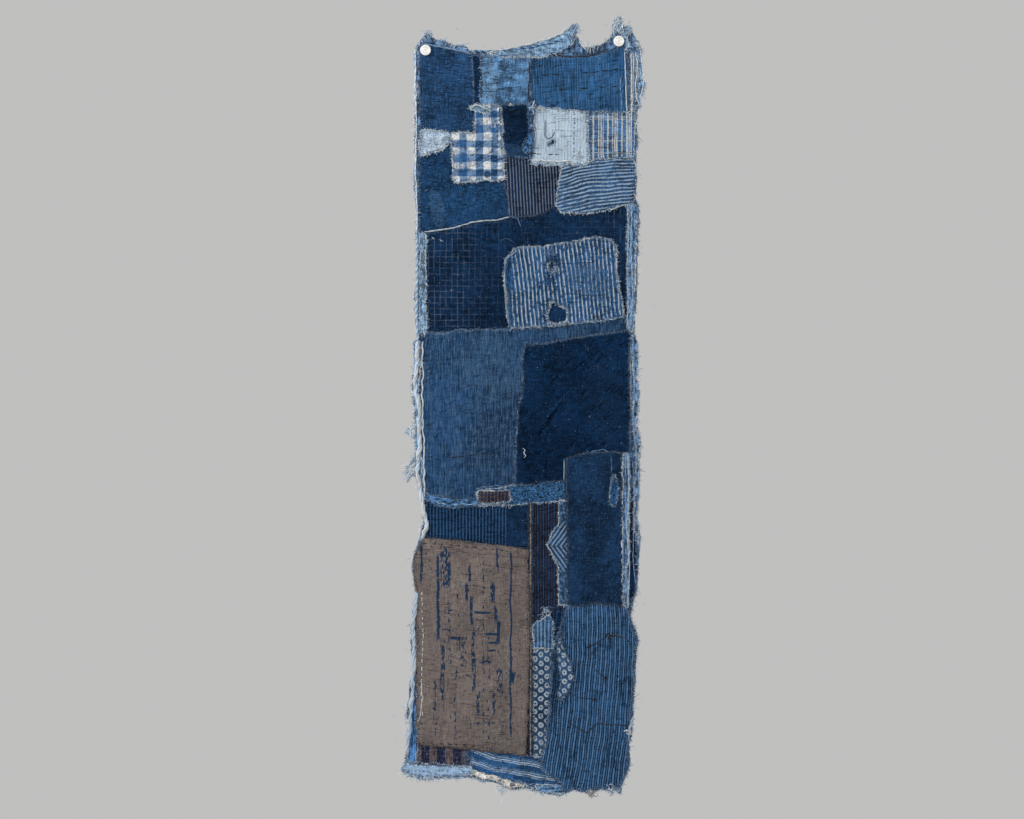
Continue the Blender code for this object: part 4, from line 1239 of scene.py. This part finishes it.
def lay(name, pieceName, look, rim, cut, number, nodes=(), holes=()):
    # one cloth on the folds, above the layers under it, with the loose fibres of its edges
    dyeSeed, rimSeed, sheetSeed = cut["seeds"]
    rim = wornRim(rim, cut["rimStep"], look["grow"], look["ragged"], rimSeed + number * 5)
    lift = lowest + layerStep * look["level"] + apart * number
    material = special.get(name, cotton)(name.replace("_", " ") + " cloth", look, dyeSeed + number * 3)
    made = makeSheet(
        pieceName, rim, lift, cut["thick"], cut["pitch"], material, holes, sheetSeed + number, cut["rough"]
    )
    place(made, look["slot"], nodes)
    declareSheet(rim)
    patchLift[name], patchRim[name] = lift, rim
    threads = patchFray[min(2, int(-rim[:, 1].mean() // zoneHeight))]
    fray(threads, rim, lift, look["fray"])
    for hole in holes:
        fray(threads, hole[::-1], lift, dict(look["fray"], every=0.8, length=(1.5, 4)))


for number, (name, look) in enumerate(patches.items()):
    lay(name, name + "_cloth", look, rimOf(name), patchCut, number, [name], tears.get(name, ()))
print("patches made")

for number, (name, look) in enumerate(scraps.items()):
    rim = np.array(look["outline"], float)
    lay(name, name, look, rim if area(rim) > 0 else rim[::-1], scrapCut, number)
print("torn bits made")

# threads, stitches and frayed edges


def threadMaterial(name):
    paint = Paint(name, 0.85, 0.3)
    tint = paint.node("ShaderNodeAttribute", {"attribute_name": "tint"}, {})
    cloud = paint.noise(1.2, 1.2, 3)
    colour = paint.blend(cloud * 0.5, Wire(paint, tint.outputs["Color"]), dye(112, 122, 136), "SOFT_LIGHT")
    ply = paint.maths("SINE", (paint.x + paint.z) * 5.0)
    return paint.finish(colour, paint.bump(ply, 0.08, 0.7), cloud * 0.1 + 0.8)


cottonThread = threadMaterial("cotton thread")
for zone, threads in enumerate(patchFray):
    place(threads.make(f"patch_fray_{zone + 1}", cottonThread), "mid_blue")

outer = Threads()
fray(outer, backingRim, 0.2, {
    "every": 1.6, "length": (0.8, 3.2), "dyes": [pale, white, sky, mid], "spread": 0.9, "off": 1.4,
    "bare": -0.1, "thick": (0.34, 0.62), "inside": 3.0,
})
fray(outer, backingRim, 0.9, {
    "every": 2.0, "length": (1.5, 4), "dyes": [sky, white, pale, white], "spread": 1.5, "off": 2.0,
    "inside": 6.0, "bare": -0.4, "thick": (0.32, 0.6), "droop": 0.5,
})
fray(outer, backingRim, 0.5, {
    "every": 30.0, "length": (4, 8), "dyes": [pale, white, sky], "spread": 0.8, "off": 3.0, "droop": 0.9,
    "thick": (0.24, 0.36),
})
place(outer.make("outer_fray", cottonThread), "pale_blue")

# threads pulled loose along the edges of the paler patches
pulled = Threads()
for name, rim in patchRim.items():
    dyes = {**patches, **scraps}[name]["fray"]["dyes"]
    for turn in range(2 if dyes is frayPale["dyes"] else 1):
        way = outward(rim)
        off = 1.3 * bumps(*rim.T, 6, 21 + turn) + 0.7 * bumps(*rim.T, 2.6, 23 + turn) - 0.4 * turn
        path = rim + way * off[:, None]
        start = 0
        while start < len(path) - 6:
            length = int(rng.integers(5, 15))
            piece = path[start : start + length]
            start += length + int(rng.integers(0, 5 if turn == 0 else 14))
            if len(piece) < 4:
                continue
            steps = np.arange(len(piece))
            y = -(surface(*piece.T) + patchLift[name] + 0.55 + 0.3 * np.sin(steps * 1.7))
            spine = np.column_stack([piece[:, 0], y, piece[:, 1]])[None]
            pulled.add(spine, rng.uniform(0.26, 0.52), shades(dyes, 1))
place(pulled.make("pulled_threads", cottonThread), "pale_blue")

# tangles: x, z, size, how many fibres, dyes
lint = Threads()
tangles = [
    (19, -95, 5, 24, [white, pale]), (15, -116, 4, 20, [white, pale, sky]),
    (14, -140, 4, 16, [sky, white]), (8, -156, 4, 16, [sky, pale]), (-42, -118, 6, 26, [pale, white]),
    (-40, -142, 6, 24, [pale, sky]), (-32, -158, 7, 30, [white, pale]), (30, -93, 6, 24, [white, pale]),
    (84, -160, 6, 24, [white, pale]), (-166, -574, 7, 150, [white, pale]),
    (-168, -634, 9, 170, [white, pale]), (-160, -620, 7, 90, [pale, sky]),
    (143, 38, 7, 60, [white, pale, white]), (140, 28, 6, 36, [pale, white]),
    (160, 24, 6, 40, [sky, pale]), (81, 27, 6, 44, [sky, pale]), (76, 16, 6, 40, [sky, pale]),
    (-74, -90, 4, 50, [white, pale]), (14, -90, 6, 90, [pale, sky]), (160, -1028, 4, 24, [white, pale]),
    (104, -1117, 6, 80, [white, (176, 158, 132), sky]), (135, -1112, 6, 80, [white, pale, sky]),
    (-38, -1023, 3, 26, [white, pale]), (-29, -1008, 3, 22, [white, pale]),
    (-90, -178, 4, 40, [white, pale]), (-18, -87, 3, 16, [white]), (-140, 18, 7, 40, [sky, pale]),
    (-120, 8, 6, 30, [sky, pale]), (60, -880, 5, 40, [sky, mid]), (42, -308, 7, 60, [sky, mid]),
    (48, -334, 6, 50, [sky, mid]), (-30, -1112, 6, 50, [white, pale]), (35, -845, 6, 60, [sky, pale]),
    (130, -881, 4, 40, [soot]), (126, -944, 3, 24, [soot]), (110, -976, 3, 20, [soot]),
    (97, -1026, 3, 20, [soot]), (100, -898, 3, 20, [soot]),
]
for x, z, size, count, dyes in tangles:
    tuft(lint, x, z, size, count // 2, dyes, 3.4, 2.1)
for dyes, count in (([pale, sky, sky], 240), ([mid, sky], 420), ([soot, navy], 460)):
    spots = np.column_stack([rng.uniform(-165, 172, count), rng.uniform(-1100, 8, count)])
    spots = spots[inside(*spots.T, backingRim)]
    tuft(lint, *spots.T, rng.uniform(0.8, 2.6, len(spots)), len(spots), dyes, 4.2)
place(lint.make("loose_fibres", cottonThread), "pale_blue")

# rows of running stitches on each patch: the thread, and the points a row passes through
darkStitch = {"stitch": 11, "gap": 5, "dyes": [(11, 23, 42), (8, 17, 32)], "thick": 0.85}
shortStitch = {"stitch": 6, "gap": 6.5, "dyes": [(14, 27, 48), (9, 18, 34)], "thick": 0.75}
loopStitch = {"stitch": 5.5, "gap": 4.0, "dyes": [white, (214, 208, 196)], "thick": 0.6}
tickStitch = {"stitch": 2.4, "gap": 5.0, "dyes": [(58, 94, 138), (46, 80, 124)], "thick": 0.62}
seamStitch = {"stitch": 3.2, "gap": 3.0, "dyes": [(13, 24, 42), navy], "thick": 0.36}
blueStitch = {"stitch": 3.0, "gap": 3.6, "dyes": [mid, (44, 76, 112)], "thick": 0.36}
paleStitch = {"stitch": 2.8, "gap": 3.6, "dyes": [pale, white, sky], "thick": 0.34}
brownStitch = {"stitch": 2.6, "gap": 2.0, "dyes": [(44, 36, 40), (60, 50, 50)], "thick": 0.4}
rows = {
    "patch_faded_blue": [
        (shortStitch, (-42, -44.7), (2, -44.7)), (shortStitch, (-16, -33.9), (-5, -33.9)),
        (shortStitch, (-30, -62), (-4, -66)), (seamStitch, (-54, -30), (-53, -82)),
        (seamStitch, (-47, -34), (-46, -80)), (seamStitch, (-34, -48), (-34, -84)),
        (seamStitch, (-18, -40), (-17, -78)),
    ],
    "patch_stitched_blue": [
        (darkStitch, (22, -28), (45, -24)), (darkStitch, (10, -41), (69, -41)),
        (darkStitch, (88, -39), (150, -31)), (darkStitch, (55, -64), (150, -58)),
        (darkStitch, (28, -85), (58, -87)), (darkStitch, (38, -9), (70, -13), (104, -12), (132, 0)),
    ],
    "patch_pale_blue": [
        (tickStitch, (78, -98), (77, -162)), (shortStitch, (12, -158), (34, -160), (56, -160)),
    ],
    "patch_darkest": [(shortStitch, (-30, -92), (-8, -96), (6, -94))],
    "patch_worn_blue": [
        (shortStitch, (-98, -507), (-66, -507)), (shortStitch, (-99, -549), (-60, -548), (-30, -546)),
        (darkStitch, (-142, -620), (-90, -612), (-33, -606)),
    ],
    "patch_grey_brown": [
        (shortStitch, (-148, -742), (-88, -746), (-39, -752), (-6, -756)),
        (shortStitch, (-150, -1041), (-90, -1044), (-30, -1052)),
        (loopStitch, (-150, -813), (-148, -880), (-151, -960), (-149, -1004)),
    ],
    "patch_pale_bottom": [
        (tickStitch, (-176, -1074), (-120, -1072), (-66, -1076)),
        (tickStitch, (-178, -1084), (-120, -1083), (-64, -1084)),
        (tickStitch, (-174, -1092), (-130, -1090), (-80, -1089)),
    ],
    "patch_streaked": [
        (shortStitch, (-29, -1068), (-28, -1074)), (shortStitch, (-2, -1065), (-2, -1072)),
        (shortStitch, (12, -1084), (12, -1092)),
    ],
}
sewing = Threads()
for name, sewn in rows.items():
    for look, *points in sewn:
        stitches(sewing, points, patchLift[name], look)
for number, (name, look) in enumerate(patches.items()):
    # every patch is sewn down just inside its edge
    thread = brownStitch if look["slot"] == "brown_weave" else [blueStitch, seamStitch][number % 2]
    inner = patchRim[name] - outward(patchRim[name]) * 3.2
    closed = np.vstack([inner, inner[:1]])
    stitches(sewing, closed, patchLift[name], dict(thread, share=0.8))
    stitches(sewing, closed, 0.0, dict(paleStitch, stitch=3.4, gap=5, thick=0.5, back=True, share=0.9))
place(sewing.make("stitches", cottonThread), "dark_indigo")

# loose threads, mending yarns and rolled edges:
# height off the backing, thickness, dyes, how uneven, then the points
yarns = Threads()
lines = [
    (
        1.2, 1.1, [pale, white], 0.6, (-160, 0), (-160, -60), (-158, -120), (-160, -180), (-157, -240),
        (-158, -280),
    ),
    (2.4, 2.0, [pale, sky], 0.6, (-158, -280), (-157, -340), (-158, -400), (-156, -440)),
    (
        2.2, 1.0, [pale, white], 0.6, (-147, -276), (-126, -274), (-105, -271), (-94, -268), (-75, -262),
        (-51, -259), (-37, -259), (-17, -253),
    ),
    (4.0, 0.9, [pale, sky], 0.6, (-6, -303), (-25, -318), (-26, -357), (-24, -392), (-19, -418)),
    (
        1.8, 3.0, [white, pale, white], 2.0, (-157, -440), (-156, -470), (-161, -500), (-155, -540),
        (-153, -590), (-157, -640), (-152, -663), (-142, -711), (-150, -738),
    ),
    (
        2.4, 1.1, [white, pale], 1.6, (-149, -440), (-148, -490), (-150, -540), (-146, -590),
        (-147, -640), (-145, -680),
    ),
    (3.0, 0.7, [sky, pale], 1.6, (-140, -676), (-115, -685), (-69, -684), (-27, -682)),
    (3.6, 0.5, [white], 0.2, (1, -600), (5, -603), (2, -607), (6, -611), (3, -615)),
    (2.4, 0.6, [white], 0.1, (-149, -289), (-146, -290), (-143, -293)),
    (2.4, 0.6, [white], 0.1, (-135, -284), (-133, -286), (-130, -287)),
    (2.4, 0.6, [white], 0.1, (-123, -288), (-121, -290), (-118, -290)),
    (4.2, 0.5, [mid, sky], 1.2, (133, -610), (135, -625), (132, -640)),
    (4.0, 0.45, [sky, mid], 1.4, (101, -606), (110, -604), (121, -603), (131, -606)),
    (2.2, 0.5, [sky, mid], 1.4, (-18, -250), (-6, -256), (-2, -268)),
    (2.4, 0.4, [mid, sky], 1.6, (-34, -290), (-24, -286), (-12, -291)),
    (
        3.0, 0.8, [white, pale], 1.2, (139, 18), (137, 29), (141, 38), (147, 42), (151, 34), (146, 25),
        (141, 26),
    ),
    (3.6, 0.7, [white, pale], 1.0, (143, 28), (147, 20), (153, 26), (149, 35)),
    (3.6, 0.7, [pale, sky], 1.4, (84, 36), (78, 24), (74, 12), (78, 2)),
    (3.0, 0.8, [pale, white], 0.8, (86, 10), (90, 2), (96, -4)),
    (3.2, 0.7, [white], 0.4, (99, 0), (98, -8)), (3.2, 0.7, [white], 0.4, (102, 0), (102, -9)),
    (3.2, 0.6, [pale], 0.4, (106, -1), (107, -8)), (3.0, 0.6, [white], 0.4, (114, 2), (112, -5)),
    (2.6, 0.8, [pale, white], 2.0, (177, -8), (181, -30), (183, -54), (177, -72), (180, -88)),
    (3.0, 0.8, [white, pale], 1.6, (170, -6), (173, -30), (171, -60), (174, -86)),
    (5.0, 0.9, [pale, white], 1.0, (10, -92), (16, -88), (20, -80)),
    (5.0, 0.9, [pale, white], 1.0, (-76, -92), (-70, -87), (-60, -89), (-50, -95)),
    (3.4, 0.8, [white, pale], 1.4, (-52, -8), (-20, -1), (12, 6), (40, 13), (60, 21), (72, 33)),
    (3.0, 0.7, [mid, sky], 1.4, (-69, -661), (-40, -656), (-18, -657)),
    (
        1.6, 1.8, [mid, sky, (60, 100, 148)], 0.6, (-74, -5), (-50, -6), (-20, -3), (10, 0), (40, 6),
        (62, 12),
    ),
    (1.6, 1.3, [mid, sky], 0.6, (-150, 6), (-128, 2), (-104, -2), (-76, -10)),
    (1.8, 0.8, [white, (214, 206, 190)], 0.6, (154, -5), (156, -60), (157, -110), (158, -160)),
    (1.8, 0.8, [white, pale], 0.6, (164, -10), (165, -70), (163, -130)),
    (2.2, 0.8, [white, pale], 0.6, (170, -260), (170, -330), (166, -400)),
    (1.6, 0.9, [white, pale], 0.6, (161, -425), (163, -500), (162, -588)),
    (3.2, 0.8, [white, pale], 0.6, (153, -612), (150, -680), (153, -740), (150, -800), (154, -838)),
    (4.2, 0.8, [white, pale], 0.6, (63, -617), (63, -648)),
    (3.0, 0.8, [pale, sky], 0.6, (158, -238), (160, -280), (157, -330), (159, -380), (157, -424)),
    (3.0, 0.9, [sky, pale], 0.6, (165, -236), (163, -300), (166, -360), (163, -420)),
    (2.6, 0.9, [pale, sky], 0.6, (166, -430), (169, -500), (166, -560), (170, -600)),
    (3.8, 0.9, [sky, pale], 0.6, (158, -606), (160, -660), (157, -720), (161, -780), (158, -836)),
    (2.4, 0.8, [sky, mid], 0.6, (166, -620), (168, -690), (166, -760), (170, -806)),
    (2.6, 0.7, [pale, sky], 0.6, (147, -44), (149, -84), (148, -94)),
    (
        3.4, 0.8, [(10, 20, 36)], 0.6, (100, -898.5), (130.5, -880.5), (141, -880.5), (156, -885),
        (165, -897),
    ),
    (3.4, 0.8, [(10, 20, 36)], 0.6, (108, -931), (124, -943), (126, -970)),
    (3.4, 0.8, [(10, 20, 36)], 0.6, (81, -973), (110, -976)),
    (3.4, 0.8, [(10, 20, 36)], 0.6, (68, -1010), (97, -1026), (112, -1012), (160, -1016)),
    (3.4, 1.1, [(12, 26, 48), navy], 1.4, (11, -22), (12, -40), (10, -62), (12, -84)),
    (4.0, 1.0, [white, pale], 1.0, (14, -168), (34, -170), (58, -171), (76, -169)),
    (4.2, 0.5, [white, pale], 1.0, (16, -92), (19, -104), (17, -118), (20, -130), (18, -146)),
    (3.4, 1.7, [white, pale], 0.6, (166, -1002), (163, -1014), (161, -1020), (163, -1030)),
    (3.4, 1.4, [white], 0.4, (152, -1024), (158, -1022), (162, -1026)),
    (3.2, 0.9, [sky, pale], 0.6, (158, -1026), (161, -1034), (160, -1042)),
    (2.0, 3.2, [white, pale], 0.5, (-157, -565), (-163, -567), (-167, -573), (-166, -580), (-160, -584)),
    (2.6, 2.6, [white], 0.3, (-161, -569), (-163, -575), (-160, -581)),
    (2.0, 2.6, [white, pale], 0.6, (-158, -617), (-163, -626), (-167, -634), (-170, -643), (-172, -652)),
    (2.4, 2.4, [white], 0.3, (-160, -628), (-164, -634), (-167, -641)),
    (3.6, 0.5, [(20, 40, 76)], 0.6, (34, -108), (34, -132), (39, -137), (45, -134), (49, -126)),
    (2.8, 0.8, [(20, 34, 60)], 0.6, (37, -9), (70, -14), (103, -12), (132, 0)),
    (
        1.8, 3.2, [white, (188, 206, 228), pale], 1.8, (-159, -815), (-163, -880), (-162, -940),
        (-167, -1000), (-172, -1060),
    ),
    (4.4, 0.6, [white], 0.8, (-151, -950), (-149, -975), (-152, -1000), (-158, -1012)),
    (1.6, 1.4, [pale, sky], 0.6, (-178, -1086), (-150, -1096), (-120, -1094), (-80, -1093)),
]
for lift, thick, dyes, rough, *points in lines:
    cord(yarns, points, lift, thick, dyes, rough)
place(yarns.make("yarns", cottonThread), "pale_blue")
print("threads made")

# the two round heads


def platedMetal(name):
    paint = Paint(name, 0.36)
    paint.shader.inputs["Specular IOR Level"].default_value = 0.5
    paint.shader.inputs["Metallic"].default_value = 0.3
    cloud = paint.noise(3, 3, 5, 4)
    scratch = paint.noise(0.5, 9, 6, 3)
    away = paint.x * 0 + 99  # farther than the rim of either head
    for headX, headZ in heads.values():
        u, v = paint.x - headX, paint.z - headZ
        away = paint.maths("MINIMUM", away, paint.maths("SQRT", u * u + v * v))
    groove = paint.line(away, 4.6, 0.7, 0.3)
    colour = paint.blend(paint.soft(cloud, 0.35, 0.7), dye(255, 255, 253), dye(242, 239, 235))
    colour = paint.blend(paint.soft(scratch, 0.62, 0.72) * 0.3, colour, dye(176, 168, 162))
    colour = paint.blend(paint.maths("MAXIMUM", groove * 0.5, paint.soft(away, 1.6, 0.8) * 0.4), colour,
                         dye(150, 140, 134))
    relief = paint.bump(scratch * 0.15 - groove, 0.25, 0.8)
    return paint.finish(colour, relief, cloud * 0.25 + 0.2)


headMetal = platedMetal("plated metal, handled")
for name in heads:
    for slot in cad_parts[name].material_slots:
        slot.material = headMetal

# floor, light and camera


def floorMaterial():
    paint = Paint("pale floor", 0.8)
    cloud = paint.noise(400, 400, 2, 3)
    return paint.finish(paint.blend(cloud, dye(214, 213, 210), dye(222, 221, 218)))


# lengths from here on are in metres
floorShape = {"vertices": 180, "radius": 4.8, "location": (0, 0, -2.2)}
bpy.ops.mesh.primitive_circle_add(fill_type="NGON", **floorShape)
floor = bpy.context.object
floor.name = "floor"
floor.data.materials.append(floorMaterial())
floor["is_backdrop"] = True


def areaLight(name, size, power, location, tone=(1, 1, 1)):
    data = bpy.data.lights.new(name, "AREA")
    data.shape = "SQUARE"
    data.size = size
    data.energy = power
    data.color = tone
    made = bpy.data.objects.new(name, data)
    made.location = location
    made.rotation_euler = (clothMiddle - Vector(location)).to_track_quat("-Z", "Y").to_euler()
    scene.collection.objects.link(made)
    made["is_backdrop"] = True


clothMiddle = Vector((0, 0, -0.54))
areaLight("key", 0.7, 62, (-2.1, -1.5, 1.0), (1.0, 0.99, 0.97))
areaLight("fill", 2.0, 22, (2.4, -2.6, 0.0))
areaLight("behind", 2.0, 60, (1.2, 3.0, 1.2))

world = bpy.data.worlds.new("studio")
scene.world = world
world.use_nodes = True
background = world.node_tree.nodes["Background"]
studio = {"Color": (0.88, 0.875, 0.87, 1), "Strength": 0.6}
for key, value in studio.items():
    background.inputs[key].default_value = value
scene.view_settings.view_transform = "Standard"

view = {"lens": 75, "sensor": 36, "location": (-0.015, -3.2, -0.54225), "turn": (90, 0, 0)}
lens = bpy.data.cameras.new("camera")
lens.lens = view["lens"]
lens.sensor_width = view["sensor"]
camera = bpy.data.objects.new("camera", lens)
camera.location = view["location"]
camera.rotation_euler = [math.radians(turn) for turn in view["turn"]]
scene.collection.objects.link(camera)
scene.camera = camera

meshes = [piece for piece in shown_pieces() if piece.type == "MESH"]
added = {piece.name: sum(len(face.vertices) - 2 for face in piece.data.polygons) for piece in meshes}
print("triangles", sum(added.values()), "most", max(added.items(), key=lambda item: item[1]))
